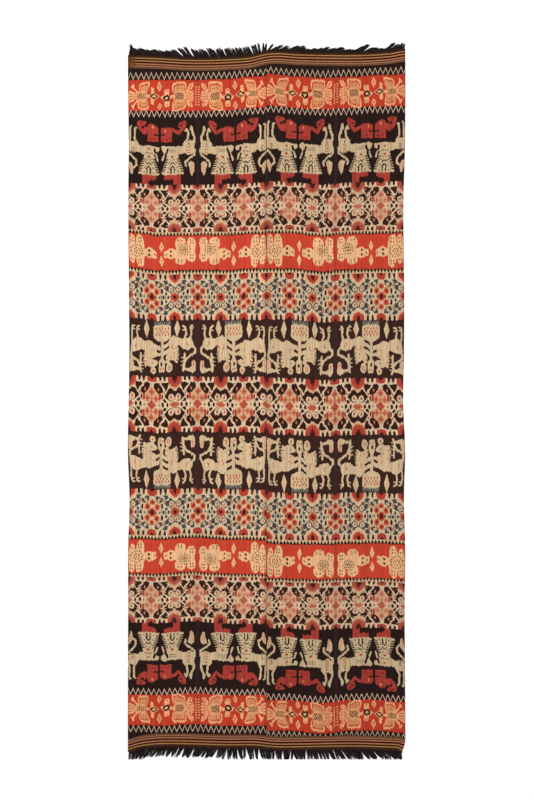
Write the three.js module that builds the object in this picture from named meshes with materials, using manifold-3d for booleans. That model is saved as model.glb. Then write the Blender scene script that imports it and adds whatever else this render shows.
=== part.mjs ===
// Warp ikat mantle lying flat: two loom widths side by side, a ribbed band woven across each end,
// and the dyed warp ends left loose as a fringe.
// Millimetres, +Z up, +Y towards the upper end, the floor at z = 0 and the origin at the cloth's middle.
import * as THREE from "three";
import Module from "manifold-3d";

const wasm = await Module();
wasm.setup();

// Whole cloth
const CLOTH_WIDTH = 1040; // selvedge to selvedge, over both panels
const CLOTH_LENGTH = 2690; // fringe tip to fringe tip
const PANEL_LENGTH = 2505; // between the two end bands, on the straight
const PIECE_GAP = 0.3; // between neighbouring pieces

// Thicknesses
const PANEL_THICKNESS = 1.5;
const BAND_THICKNESS = 1.4; // between the ribs
const RIB_HEIGHT = 0.7; // how far a rib stands above the band
const HEADING_THICKNESS = 1.5;
const STRAND_THICKNESS = 2.4; // at a strand's middle

// Mesh steps
const PANEL_COLUMNS = 12; // across one panel
const PANEL_ROWS = 42; // along one panel
const COLUMN_CROWDING = 0.55; // columns stand closer at the seam and the selvedge

// Fringe
const HEADING_WIDTH = 8; // the dark strip that the strands grow from
const STRANDS_PER_END = 84;
const STRAND_WIDTH = 5;
const STRAND_TIP = 0.45; // tip width over strand width
const ROOT_DEPTH = 5; // how far a strand reaches into the heading
const ROOT_SCATTER = 1.2; // uneven spacing of the roots
const LEAN_SCATTER = 2.5; // degrees
const LENGTH_SCATTER = 5;
const STRAND_CURL = 7; // degrees that a strand bends further over, root to tip
const SELVEDGE_MARGIN = 8; // from a selvedge to the outermost root

// Ribs of an end band, counted outwards from the panel: a broad one, then three cords.
const RIBS = [
  { start: 0.5, width: 10.5 },
  { start: 15.5, width: 5 },
  { start: 26, width: 5 },
  { start: 36.5, width: 5 },
];
const BAND_WIDTH = 42;

// How far the line between panel and end band lies outwards of its straight place, across the cloth.
const TOP_LINE = [
  { x: -520, out: -5 },
  { x: -411, out: -8 },
  { x: -276, out: -15 },
  { x: -141, out: -12 },
  { x: -62, out: -6 },
  { x: -6, out: 7 },
  { x: 28, out: 11 },
  { x: 125, out: 6 },
  { x: 230, out: 4 },
  { x: 365, out: 4 },
  { x: 467, out: 11 },
  { x: 520, out: 19 },
];
const BOTTOM_LINE = [
  { x: -520, out: 14 },
  { x: -480, out: 3 },
  { x: -411, out: -6 },
  { x: -342, out: -7 },
  { x: -141, out: -2 },
  { x: -39, out: -2 },
  { x: 28, out: 5 },
  { x: 129, out: 5 },
  { x: 332, out: 2 },
  { x: 433, out: 5 },
  { x: 520, out: 7 },
];

// Where the lower end band sags away from the panel, and how far its outer edge is drawn inwards there.
const BOTTOM_SAG = [
  { x: -520, sag: 0, draw: 0 },
  { x: 380, sag: 0, draw: 0 },
  { x: 430, sag: 0, draw: 0 },
  { x: 485, sag: 4, draw: 2 },
  { x: 520, sag: 16, draw: 11 },
];
const NO_SAG = [
  { x: -520, sag: 0, draw: 0 },
  { x: 520, sag: 0, draw: 0 },
];

// How far each selvedge bows inwards, along the cloth.
const SELVEDGES = [
  { y: -1260, left: 0, right: 0 },
  { y: -750, left: 1, right: 2.5 },
  { y: -560, left: 1, right: 0.5 },
  { y: -370, left: 6, right: 5 },
  { y: -185, left: 0, right: 1 },
  { y: 0, left: 3, right: 8 },
  { y: 190, left: 5.5, right: 5 },
  { y: 380, left: 4, right: 4 },
  { y: 755, left: 1.5, right: 7 },
  { y: 940, left: 3, right: 1.5 },
  { y: 1260, left: 0, right: 0 },
];

// Low swells where the cloth does not lie quite flat: middle, half length, half width, turn from +Y, height.
const SWELLS = [
  { x: 14, y: 1130, along: 190, across: 70, turn: 4, height: 7 },
  { x: 430, y: 1080, along: 230, across: 85, turn: -24, height: 6 },
  { x: -395, y: 1010, along: 250, across: 75, turn: 14, height: 5 },
  { x: -190, y: 640, along: 270, across: 80, turn: -7, height: 5 },
  { x: 270, y: 560, along: 290, across: 85, turn: 9, height: 6 },
  { x: -20, y: 260, along: 250, across: 65, turn: -3, height: 5 },
  { x: -410, y: 120, along: 240, across: 75, turn: 8, height: 6 },
  { x: 400, y: -60, along: 270, across: 85, turn: -12, height: 5 },
  { x: 140, y: -330, along: 240, across: 75, turn: 6, height: 5 },
  { x: -230, y: -480, along: 280, across: 80, turn: 10, height: 6 },
  { x: 20, y: -860, along: 260, across: 70, turn: 3, height: 6 },
  { x: -430, y: -1010, along: 200, across: 75, turn: -18, height: 5 },
  { x: 360, y: -980, along: 220, across: 80, turn: 16, height: 6 },
];

// Fringe strands across each end: lean of the tip towards +X in degrees, and length.
const TOP_STRANDS = [
  { x: -520, lean: -4, length: 38 },
  { x: -456, lean: -36, length: 38 },
  { x: -360, lean: -42, length: 40 },
  { x: -280, lean: -38, length: 47 },
  { x: -190, lean: -30, length: 40 },
  { x: -62, lean: -12, length: 34 },
  { x: -10, lean: 2, length: 38 },
  { x: 70, lean: 28, length: 36 },
  { x: 150, lean: 40, length: 38 },
  { x: 240, lean: 42, length: 34 },
  { x: 350, lean: 42, length: 44 },
  { x: 460, lean: 38, length: 42 },
  { x: 520, lean: 4, length: 30 },
];
const BOTTOM_STRANDS = [
  { x: -520, lean: -3, length: 40 },
  { x: -437, lean: -26, length: 40 },
  { x: -306, lean: -18, length: 38 },
  { x: -190, lean: -24, length: 38 },
  { x: -115, lean: 2, length: 42 },
  { x: -50, lean: 12, length: 41 },
  { x: 30, lean: 2, length: 38 },
  { x: 150, lean: 4, length: 37 },
  { x: 280, lean: 28, length: 44 },
  { x: 380, lean: 34, length: 46 },
  { x: 480, lean: 24, length: 36 },
  { x: 520, lean: 0, length: 28 },
];

// A smooth curve through one column of a table whose rows are in order of their place.
function curveOf(table, place, column) {
  const places = table.map((row) => row[place]);
  const values = table.map((row) => row[column]);
  const curve = new THREE.CubicInterpolant(places, values, 1);
  return (at) => curve.evaluate(at)[0];
}

const topOut = curveOf(TOP_LINE, "x", "out");
const bottomOut = curveOf(BOTTOM_LINE, "x", "out");
const leftBow = curveOf(SELVEDGES, "y", "left");
const rightBow = curveOf(SELVEDGES, "y", "right");

// Height of the cloth's underside: zero over most of the floor, and a smooth hump on each swell.
function liftAt(x, y) {
  let lift = 0;
  for (const swell of SWELLS) {
    const turn = THREE.MathUtils.degToRad(swell.turn);
    const dx = x - swell.x;
    const dy = y - swell.y;
    const along = (dy * Math.cos(turn) - dx * Math.sin(turn)) / swell.along;
    const across = (dx * Math.cos(turn) + dy * Math.sin(turn)) / swell.across;
    const reach = along * along + across * across;
    if (reach < 1) {
      lift += swell.height * (1 - reach) ** 2;
    }
  }
  return lift;
}

// Moves a point sideways with the bowed selvedge of its half, by its share of the way from the seam.
function bowed(x, y) {
  const share = Math.abs(x) / (CLOTH_WIDTH / 2);
  return x < 0 ? x + share * leftBow(y) : x - share * rightBow(y);
}

// A closed slab on a grid of columns and rows. place gives a point's x, y, top and under.
function slab(columns, rows, place) {
  const positions = [];
  const faces = [];
  const layer = (columns + 1) * (rows + 1);
  for (const side of ["top", "under"]) {
    for (let j = 0; j <= rows; j += 1) {
      for (let i = 0; i <= columns; i += 1) {
        const point = place(i, j);
        positions.push(point.x, point.y, point[side]);
      }
    }
  }
  const top = (i, j) => j * (columns + 1) + i;
  const under = (i, j) => layer + top(i, j);
  const quad = (a, b, c, d) => faces.push(a, b, c, a, c, d);
  for (let j = 0; j < rows; j += 1) {
    for (let i = 0; i < columns; i += 1) {
      quad(top(i, j), top(i + 1, j), top(i + 1, j + 1), top(i, j + 1));
      quad(under(i, j), under(i, j + 1), under(i + 1, j + 1), under(i + 1, j));
    }
    quad(under(0, j + 1), under(0, j), top(0, j), top(0, j + 1));
    quad(under(columns, j), under(columns, j + 1), top(columns, j + 1), top(columns, j));
  }
  for (let i = 0; i < columns; i += 1) {
    quad(under(i, 0), under(i + 1, 0), top(i + 1, 0), top(i, 0));
    quad(under(i + 1, rows), under(i, rows), top(i, rows), top(i + 1, rows));
  }
  const geometry = new THREE.BufferGeometry();
  geometry.setAttribute("position", new THREE.Float32BufferAttribute(positions, 3));
  geometry.setIndex(faces);
  return geometry;
}

// Places across one panel from its left edge to its right, closer together towards both.
function panelStations(from, to) {
  const stations = [];
  for (let i = 0; i <= PANEL_COLUMNS; i += 1) {
    const even = i / PANEL_COLUMNS;
    const crowded = even - (COLUMN_CROWDING * Math.sin(2 * Math.PI * even)) / (2 * Math.PI);
    stations.push(THREE.MathUtils.lerp(from, to, crowded));
  }
  return stations;
}

const leftStations = panelStations(-CLOTH_WIDTH / 2, 0);
const rightStations = panelStations(0, CLOTH_WIDTH / 2);
const clothStations = [...leftStations, ...rightStations.slice(1)];

// One loom width. seamSide is where its seam lies: 1 on its right, -1 on its left.
function panelGeometry(stations, seamSide) {
  return slab(PANEL_COLUMNS, PANEL_ROWS, (i, j) => {
    const atSeam = stations[i] === 0;
    const across = atSeam ? -seamSide * (PIECE_GAP / 2) : stations[i];
    const lowest = -PANEL_LENGTH / 2 - bottomOut(stations[i]) + PIECE_GAP / 2;
    const highest = PANEL_LENGTH / 2 + topOut(stations[i]) - PIECE_GAP / 2;
    const y = THREE.MathUtils.lerp(lowest, highest, j / PANEL_ROWS);
    const x = atSeam ? across : bowed(across, y);
    const lift = liftAt(x, y);
    return { x, y, under: lift, top: lift + PANEL_THICKNESS };
  });
}

// An end of the cloth: which way is outwards, and the tables of its edge line, sag and strands.
function endOf(outwards, line, sagTable, strandTable) {
  const out = curveOf(line, "x", "out");
  const sag = curveOf(sagTable, "x", "sag");
  const draw = curveOf(sagTable, "x", "draw");
  // A point of the end, distance outwards of the panel's edge line.
  const at = (x, distance) => ({
    x: x - Math.max(draw(x), 0) * Math.min(distance / BAND_WIDTH, 1),
    y: outwards * (PANEL_LENGTH / 2 + out(x) + Math.max(sag(x), 0) + distance),
  });
  return {
    outwards,
    at,
    lean: curveOf(strandTable, "x", "lean"),
    length: curveOf(strandTable, "x", "length"),
  };
}

// Distances across an end band with their heights: low between the ribs, high on each rib's crest.
function bandProfile() {
  const profile = [{ distance: PIECE_GAP / 2, rise: 0 }];
  for (const rib of RIBS) {
    profile.push({ distance: rib.start + rib.width * 0.25, rise: RIB_HEIGHT });
    profile.push({ distance: rib.start + rib.width * 0.75, rise: RIB_HEIGHT });
    profile.push({ distance: Math.min(rib.start + rib.width + 1.5, BAND_WIDTH - PIECE_GAP / 2), rise: 0 });
  }
  return profile;
}

function bandGeometry(end) {
  const profile = bandProfile();
  const inOrder = end.outwards > 0 ? profile : profile.slice().reverse();
  return slab(clothStations.length - 1, profile.length - 1, (i, j) => {
    const { distance, rise } = inOrder[j];
    const point = end.at(clothStations[i], distance);
    return { ...point, under: 0, top: BAND_THICKNESS + rise };
  });
}

function headingGeometry(end) {
  const edges = [BAND_WIDTH + PIECE_GAP / 2, BAND_WIDTH + HEADING_WIDTH];
  const inOrder = end.outwards > 0 ? edges : edges.slice().reverse();
  return slab(clothStations.length - 1, 1, (i, j) => {
    const point = end.at(clothStations[i], inOrder[j]);
    return { ...point, under: 0, top: HEADING_THICKNESS };
  });
}

// A number from -1 to 1 that is always the same for the same strand and use.
function scatter(strand, use) {
  return 2 * THREE.MathUtils.seededRandom(1 + strand * 31 + use * 1009) - 1;
}

// One four-sided strand, resting level on the floor: root, middle and tip.
function strandGeometry(end, strand) {
  const span = CLOTH_WIDTH - 2 * SELVEDGE_MARGIN;
  const place = (strand + 0.5) / STRANDS_PER_END;
  const rootX = (place - 0.5) * span + ROOT_SCATTER * scatter(strand, 1);
  const root = end.at(rootX, BAND_WIDTH + HEADING_WIDTH - ROOT_DEPTH);
  const lean = end.lean(rootX) + LEAN_SCATTER * scatter(strand, 2);
  const room = CLOTH_LENGTH / 2 - Math.abs(root.y);
  const wanted = ROOT_DEPTH + end.length(rootX) + LENGTH_SCATTER * scatter(strand, 3);
  const length = Math.min(wanted, room / Math.cos(THREE.MathUtils.degToRad(lean)));
  const sections = [
    { share: 0, width: 0.85, height: 0.8, curl: 0 },
    { share: 0.5, width: 1, height: 1, curl: -0.5 },
    { share: 1, width: STRAND_TIP, height: 0.6, curl: 0 },
  ];
  return slab(1, sections.length - 1, (i, j) => {
    const { share, width, height, curl } = sections[j];
    const angle = THREE.MathUtils.degToRad(lean + Math.sign(lean) * curl * STRAND_CURL);
    const forward = { x: Math.sin(angle), y: end.outwards * Math.cos(angle) };
    const aside = (i - 0.5) * STRAND_WIDTH * width;
    const x = root.x + forward.x * length * share + forward.y * aside;
    const y = root.y + forward.y * length * share - forward.x * aside;
    return { x, y, under: 0, top: STRAND_THICKNESS * height };
  });
}

function solidOf(geometry) {
  return new wasm.Manifold(
    new wasm.Mesh({
      numProp: 3,
      vertProperties: geometry.getAttribute("position").array,
      triVerts: Uint32Array.from(geometry.getIndex().array),
    }),
  );
}

function geometryOf(solid) {
  const mesh = solid.getMesh();
  const geometry = new THREE.BufferGeometry();
  geometry.setAttribute("position", new THREE.Float32BufferAttribute(mesh.vertProperties, 3));
  geometry.setIndex(Array.from(mesh.triVerts));
  return geometry;
}

// The dark heading with all its strands grown into it.
function fringeGeometry(end) {
  let fringe = solidOf(headingGeometry(end));
  for (let strand = 0; strand < STRANDS_PER_END; strand += 1) {
    fringe = fringe.add(solidOf(strandGeometry(end, strand)));
  }
  return geometryOf(fringe);
}

const topEnd = endOf(1, TOP_LINE, NO_SAG, TOP_STRANDS);
const bottomEnd = endOf(-1, BOTTOM_LINE, BOTTOM_SAG, BOTTOM_STRANDS);

const cloth = new THREE.Group();

function addPiece(name, geometry, color, roughness) {
  const material = new THREE.MeshStandardMaterial({ color, roughness, metalness: 0 });
  const piece = new THREE.Mesh(geometry, material);
  piece.name = name;
  cloth.add(piece);
}

addPiece("panel_left", panelGeometry(leftStations, 1), 0x8f5a44, 0.9);
addPiece("panel_right", panelGeometry(rightStations, -1), 0x8f5a44, 0.9);
addPiece("end_band_top", bandGeometry(topEnd), 0x7a4e30, 0.85);
addPiece("end_band_bottom", bandGeometry(bottomEnd), 0x7a4e30, 0.85);
addPiece("fringe_top", fringeGeometry(topEnd), 0x231f20, 0.9);
addPiece("fringe_bottom", fringeGeometry(bottomEnd), 0x231f20, 0.9);

export default cloth;
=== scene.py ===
import math
import random

import bpy
import numpy as np
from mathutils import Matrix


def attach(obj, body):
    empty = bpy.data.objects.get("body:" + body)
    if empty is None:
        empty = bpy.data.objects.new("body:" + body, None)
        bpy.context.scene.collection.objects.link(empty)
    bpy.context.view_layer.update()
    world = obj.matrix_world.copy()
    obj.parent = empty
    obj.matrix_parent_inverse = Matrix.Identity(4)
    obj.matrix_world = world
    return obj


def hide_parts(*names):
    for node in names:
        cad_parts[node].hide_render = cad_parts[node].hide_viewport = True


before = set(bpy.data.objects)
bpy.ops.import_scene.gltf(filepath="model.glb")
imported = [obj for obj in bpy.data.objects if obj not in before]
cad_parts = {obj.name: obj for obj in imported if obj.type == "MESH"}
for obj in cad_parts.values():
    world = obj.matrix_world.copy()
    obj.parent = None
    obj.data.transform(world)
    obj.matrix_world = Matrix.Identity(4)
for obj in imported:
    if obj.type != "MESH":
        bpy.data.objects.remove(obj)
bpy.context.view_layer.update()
print("frame loaded:", ", ".join(sorted(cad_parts)))

mm = 0.001

# Sizes of the whole cloth in millimetres, the same as the CAD model's.
cloth = {
    "width": 1040,
    "panelLength": 2505,
    "pieceGap": 0.3,
    "panelThickness": 1.5,
    "bandWidth": 42,
    "headingWidth": 8,
    "unit": 3.75,  # one unit of the pattern charts
}

# How far the line between panel and end band lies outwards of its straight place: x, out.
topLine = [
    (-520, -5), (-411, -8), (-276, -15), (-141, -12), (-62, -6), (-6, 7),
    (28, 11), (125, 6), (230, 4), (365, 4), (467, 11), (520, 19),
]
bottomLine = [
    (-520, 14), (-480, 3), (-411, -6), (-342, -7), (-141, -2), (-39, -2),
    (28, 5), (129, 5), (332, 2), (433, 5), (520, 7),
]
# Where the lower band sags away from the panel, and how far its outer edge is drawn in:
# x, sag, draw.
bottomSag = [(-520, 0, 0), (440, 0, 0), (475, 0.3, 1), (498, 1.2, 4), (520, 6, 11)]
noSag = [(-520, 0, 0), (520, 0, 0)]
# How far each selvedge bows inwards: y, left, right.
selvedges = [
    (-1260, 0, 0), (-750, 1, 2.5), (-560, 1, 0.5), (-370, 6, 5), (-185, 0, 1), (0, 3, 8),
    (190, 5.5, 5), (380, 4, 4), (755, 1.5, 7), (940, 3, 1.5), (1260, 0, 0),
]
# Low swells: x, y, half length, half width, turn from +Y in degrees, height.
swells = [
    (14, 1130, 190, 70, 4, 7), (430, 1080, 230, 85, -24, 6), (-395, 1010, 250, 75, 14, 5),
    (-190, 640, 270, 80, -7, 5), (270, 560, 290, 85, 9, 6), (-20, 260, 250, 65, -3, 5),
    (-410, 120, 240, 75, 8, 6), (400, -60, 270, 85, -12, 5), (140, -330, 240, 75, 6, 5),
    (-230, -480, 280, 80, 10, 6), (20, -860, 260, 70, 3, 6), (-430, -1010, 200, 75, -18, 5),
    (360, -980, 220, 80, 16, 6),
]


# The CAD model's smooth curve through two columns of a table.
def curveOf(table, column=1):
    places = [row[0] for row in table]
    values = [row[column] for row in table]
    before, after = 2 * places[0] - places[1], 2 * places[-1] - places[-2]
    places = np.array([before, *places, after], float)
    values = np.array([values[1], *values, values[-2]], float)

    def curve(at):
        at = np.asarray(at, float)
        i = np.clip(np.searchsorted(places, at, "right") - 1, 1, len(places) - 3)
        before, start, stop, after = (places[i + k] for k in (-1, 0, 1, 2))
        half = (stop - start) / 2
        wb, wa = half / (start - before), half / (after - stop)
        p = (at - start) / (stop - start)
        return (
            values[i - 1] * (-wb * p**3 + 2 * wb * p**2 - wb * p)
            + values[i] * ((1 + wb) * p**3 - (1.5 + 2 * wb) * p**2 + (wb - 0.5) * p + 1)
            + values[i + 1] * (-(1 + wa) * p**3 + (1.5 + wa) * p**2 + 0.5 * p)
            + values[i + 2] * (wa * p**3 - wa * p**2)
        )

    return curve


leftBow, rightBow = curveOf(selvedges, 1), curveOf(selvedges, 2)


# An end of the cloth: a point at a distance outwards of the panel's edge line.
def endOf(outwards, line, sagTable):
    out, sag, draw = curveOf(line), curveOf(sagTable, 1), curveOf(sagTable, 2)

    def at(x, distance):
        inwards = np.clip(draw(x), 0, None) * np.clip(distance / cloth["bandWidth"], 0, 1) ** 2
        droop = np.clip(sag(x), 0, None) * (1 + 0.7 * distance / cloth["bandWidth"])
        y = outwards * (cloth["panelLength"] / 2 + out(x) + droop + distance)
        return x - inwards, y

    return at


ends = {"top": endOf(1, topLine, noSag), "bottom": endOf(-1, bottomLine, bottomSag)}


# Height of the cloth's underside over the floor.
def liftAt(x, y):
    lift = np.zeros(np.broadcast(x, y).shape)
    for sx, sy, along, across, turn, height in swells:
        c, s = math.cos(math.radians(turn)), math.sin(math.radians(turn))
        lengthwise = ((y - sy) * c - (x - sx) * s) / along
        sideways = ((x - sx) * c + (y - sy) * s) / across
        lift += height * np.clip(1 - lengthwise**2 - sideways**2, 0, None) ** 2
    return lift


def bowed(x, y):
    share = np.abs(x) / (cloth["width"] / 2)
    return np.where(x < 0, x + share * leftBow(y), x - share * rightBow(y))


# A smooth mesh from points in millimetres, with each point's place in the weave.
def meshPiece(name, points, faces, weave, finish):
    mesh = bpy.data.meshes.new(name)
    mesh.from_pydata((np.asarray(points) * mm).tolist(), [], faces)
    corners = [v for face in faces for v in face]
    layer = mesh.uv_layers.new(name="weave")
    layer.data.foreach_set("uv", np.asarray(weave, np.float32)[corners].ravel())
    mesh.polygons.foreach_set("use_smooth", [True] * len(mesh.polygons))
    mesh.update()
    mesh.materials.append(finish)
    piece = bpy.data.objects.new(name, mesh)
    bpy.context.collection.objects.link(piece)
    return piece


# A closed thin mesh from two grids of points, rows by columns.
def closedSheet(name, top, under, weave, finish):
    rows, columns = top.shape[:2]
    count = rows * columns
    at = np.arange(count).reshape(rows, columns)
    a, b, c, d = at[:-1, :-1], at[:-1, 1:], at[1:, 1:], at[1:, :-1]
    quads = [np.stack([a, b, c, d], -1).reshape(-1, 4)]
    quads.append(np.stack([a, d, c, b], -1).reshape(-1, 4) + count)
    for rim, turned in ((at[0], False), (at[-1], True), (at[:, 0], True), (at[:, -1], False)):
        strip = np.stack([rim[:-1] + count, rim[1:] + count, rim[1:], rim[:-1]], -1)
        quads.append(strip[:, ::-1] if turned else strip)
    points = np.concatenate([top.reshape(-1, 3), under.reshape(-1, 3)])
    weave = np.tile(weave.reshape(-1, 2), (2, 1))
    return meshPiece(name, points, np.concatenate(quads).tolist(), weave, finish)


# The faces of a tube whose rings of points follow each other from a first point on.
def tubeFaces(first, rings, sides, turned, capped=True):
    faces = []
    for ring in range(rings - 1):
        for k in range(sides):
            a = first + ring * sides + k
            b = first + ring * sides + (k + 1) % sides
            faces.append((a, a + sides, b + sides, b) if turned else (a, b, b + sides, a + sides))
    if capped:
        start = tuple(range(first, first + sides))
        tip = tuple(k + (rings - 1) * sides for k in start)
        faces += [start, tip[::-1]] if turned else [start[::-1], tip]
    return faces


# Wraps a socket, so that sums of sockets add Math nodes.
class Wire:
    def __init__(self, finish, socket):
        self.finish, self.socket = finish, socket

    def __add__(self, other):
        return self.finish.math("ADD", self, other)

    def __sub__(self, other):
        return self.finish.math("SUBTRACT", self, other)

    def __rsub__(self, other):
        return self.finish.math("SUBTRACT", other, self)

    def __mul__(self, other):
        return self.finish.math("MULTIPLY", self, other)

    def __truediv__(self, other):
        return self.finish.math("DIVIDE", self, other)

    def __gt__(self, other):
        return self.finish.math("GREATER_THAN", self, other)

    def __lt__(self, other):
        return self.finish.math("LESS_THAN", self, other)

    __radd__, __rmul__ = __add__, __mul__


# One material and its nodes.
class Finish:
    def __init__(self, name):
        self.material = bpy.data.materials.new(name)
        self.material.use_nodes = True
        self.tree = self.material.node_tree
        self.tree.nodes.clear()

    # Any node: its settings come first, then the values or links of its sockets.
    def node(self, kind, settings=None, sockets=None, out=0):
        made = self.tree.nodes.new(kind)
        for name, value in (settings or {}).items():
            if name == "curves":
                setCurves(made.mapping, value)
            else:
                setattr(made, name, value)
        for key, value in (sockets or {}).items():
            if isinstance(value, Wire):
                self.tree.links.new(value.socket, made.inputs[key])
            elif value is not None:
                made.inputs[key].default_value = value
        return Wire(self, made.outputs[out]) if made.outputs else None

    def math(self, operation, *values):
        return self.node("ShaderNodeMath", {"operation": operation}, dict(enumerate(values)))

    def vector(self, operation, *values, out=0):
        return self.node("ShaderNodeVectorMath", {"operation": operation}, dict(enumerate(values)), out)

    def mix(self, factor, a, b, blend="MIX"):
        settings = {"data_type": "RGBA", "blend_type": blend}
        return self.node("ShaderNodeMix", settings, {0: factor, 6: a, 7: b}, 2)

    # The same number three times, since a curve node looks up three edges at once.
    def threefold(self, value):
        return self.node("ShaderNodeCombineXYZ", None, {0: value, 1: value, 2: value})

    def shade(self, color, tone):
        return self.mix(1, color, self.threefold(tone), "MULTIPLY")

    # The first two parts of a vector.
    def split(self, vector):
        parts = self.node("ShaderNodeSeparateXYZ", None, {0: vector})
        return parts, Wire(self, parts.socket.node.outputs[1])

    # The place in the weave, and its two parts.
    def weave(self):
        place = self.node("ShaderNodeUVMap", {"uv_map": "weave"})
        return place, *self.split(place)

    # Noise, its grain being how quickly it changes across and along.
    def noise(self, place, grain, detail=2.0, out=0):
        sockets = {"Vector": self.vector("MULTIPLY", place, (*grain, 0)), "Scale": 1.0, "Detail": detail}
        return self.node("ShaderNodeTexNoise", {"noise_dimensions": "2D"}, sockets, out)

    # A number from 0 to 1 that is the same for the same whole number.
    def lot(self, number):
        return self.node("ShaderNodeTexWhiteNoise", {"noise_dimensions": "1D"}, {"W": number})

    # The shader; height and depth make its relief.
    def close(self, color, roughness, height=None, depth=0.001, strength=0.6, glow=0):
        sockets = {"Base Color": color, "Roughness": roughness, "Specular IOR Level": 0.08}
        if glow:
            sockets.update({"Emission Color": (1, 1, 1, 1), "Emission Strength": glow})
        if height is not None:
            bump = {"Height": height, "Distance": depth, "Strength": strength}
            sockets["Normal"] = self.node("ShaderNodeBump", None, bump)
        shader = self.node("ShaderNodeBsdfPrincipled", None, sockets)
        self.node("ShaderNodeOutputMaterial", None, {"Surface": shader})
        return self.material


# Three columns of values over the rows of a chart, laid from -1 to 1.
# The node keeps a table of as many steps, which fall on the rows, so each row is looked up exactly.
def setCurves(mapping, columns):
    last = chartRows - 1
    mapping.use_clip = False
    mapping.extend = "HORIZONTAL"
    mapping.clip_min_x, mapping.clip_max_x = -1, 1
    for curve, column in zip(mapping.curves, columns):
        for row in range(1, last):
            curve.points.new(2 * row / last - 1, column[row])
        curve.points[0].location = (-1, column[0])
        curve.points[-1].location = (1, column[last])
        for point in curve.points:
            point.handle_type = "VECTOR"
    mapping.update()


# A colour as the eye reads it, 0 to 255, turned to the linear values of a shader.
def dye(red, green, blue):
    share = [v / 255 for v in (red, green, blue)]
    return (*[v / 12.92 if v <= 0.04045 else ((v + 0.055) / 1.055) ** 2.4 for v in share], 1)


# Charts of the woven figures. Each is half a panel wide, from its edge at 0 to its middle at 69.33, in units.
# Along the warp y is counted from zero, towards the cloth's end (1) or its middle (-1).
# A shape is its ink, its form and its points: area is a soft outline, block a sharp one, line has a width,
# oval and lozenge have a middle and two half sizes. Later shapes lie on earlier ones, and ground cuts
# through them.
panelHalf = cloth["width"] / 4 / cloth["unit"]


def dashes(ink, xs, ys, width, height):
    return [(ink, "oval", (x, y, width, height)) for y in ys for x in xs]


# Shapes of one ink and one form.
def drawn(ink, form, *places):
    return [(ink, form, place) for place in places]


# Shapes of one form about one middle: ink and two half sizes.
def rings(form, x, y, *sizes):
    return [(ink, form, (x, y, width, height)) for ink, width, height in sizes]


# Short strokes: x, y, and how far each runs.
def strokes(ink, width, places):
    return [(ink, "line", width, [(x, y), (x + dx, y + dy)]) for x, y, dx, dy in places]


# Dashes around a point.
def rosette(ink, x, y, radius, count, width, height):
    turns = [2 * math.pi * k / count for k in range(count)]
    places = [(x + radius * math.cos(a), y + radius * math.sin(a)) for a in turns]
    return [(ink, "oval", (*place, width, height)) for place in places]


# A mane drawn as a skirt, wider at its far end. Its sides are notched, and it holds an arch and dashes.
def mane(x, top, bottom, halfTop, halfBottom):
    drop = bottom - top
    side = [
        (halfTop, top), (halfTop + 1, top + drop * 0.2), (halfBottom - 1.4, top + drop * 0.6),
        (halfBottom + 0.4, bottom - 1.4), (halfBottom, bottom)]
    left, right = [(x - half, y) for half, y in side], [(x + half, y) for half, y in side[::-1]]
    shapes = [("cream", "area", [*left, (x, bottom + 0.6), *right])]
    for k in range(6):
        y = top + drop * (0.28 + 0.118 * k)
        half = halfTop + 0.6 + (halfBottom - halfTop) * (0.16 + 0.135 * k)
        shapes += strokes("ground", 1.3, [(x - half - 1, y, 3.1, -0.7), (x + half + 1, y, -3.1, -0.7)])
        if k % 2:
            shapes += dashes("ground", (x - half * 0.46, x + half * 0.5), (y + 0.4,), 0.85, 0.58)
        else:
            shapes += dashes("ground", (x - half * 0.26, x + half * 0.24), (y,), 0.62, 0.62)
    arch = [(-1.7, -0.9), (-1.6, -6.4), (0, -8), (1.6, -6.4), (1.7, -0.9)]
    brow = [(-2, -10.2), (-0.2, -11.4), (1.8, -10.6)]
    for width, line in ((1.25, arch), (1.1, brow)):
        shapes.append(("ground", "line", width, [(x + dx, bottom + dy) for dx, dy in line]))
    shapes.append(("red", "oval", (x - 0.2, top + 2.8, 1.4, 1.3)))
    return shapes


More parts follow.
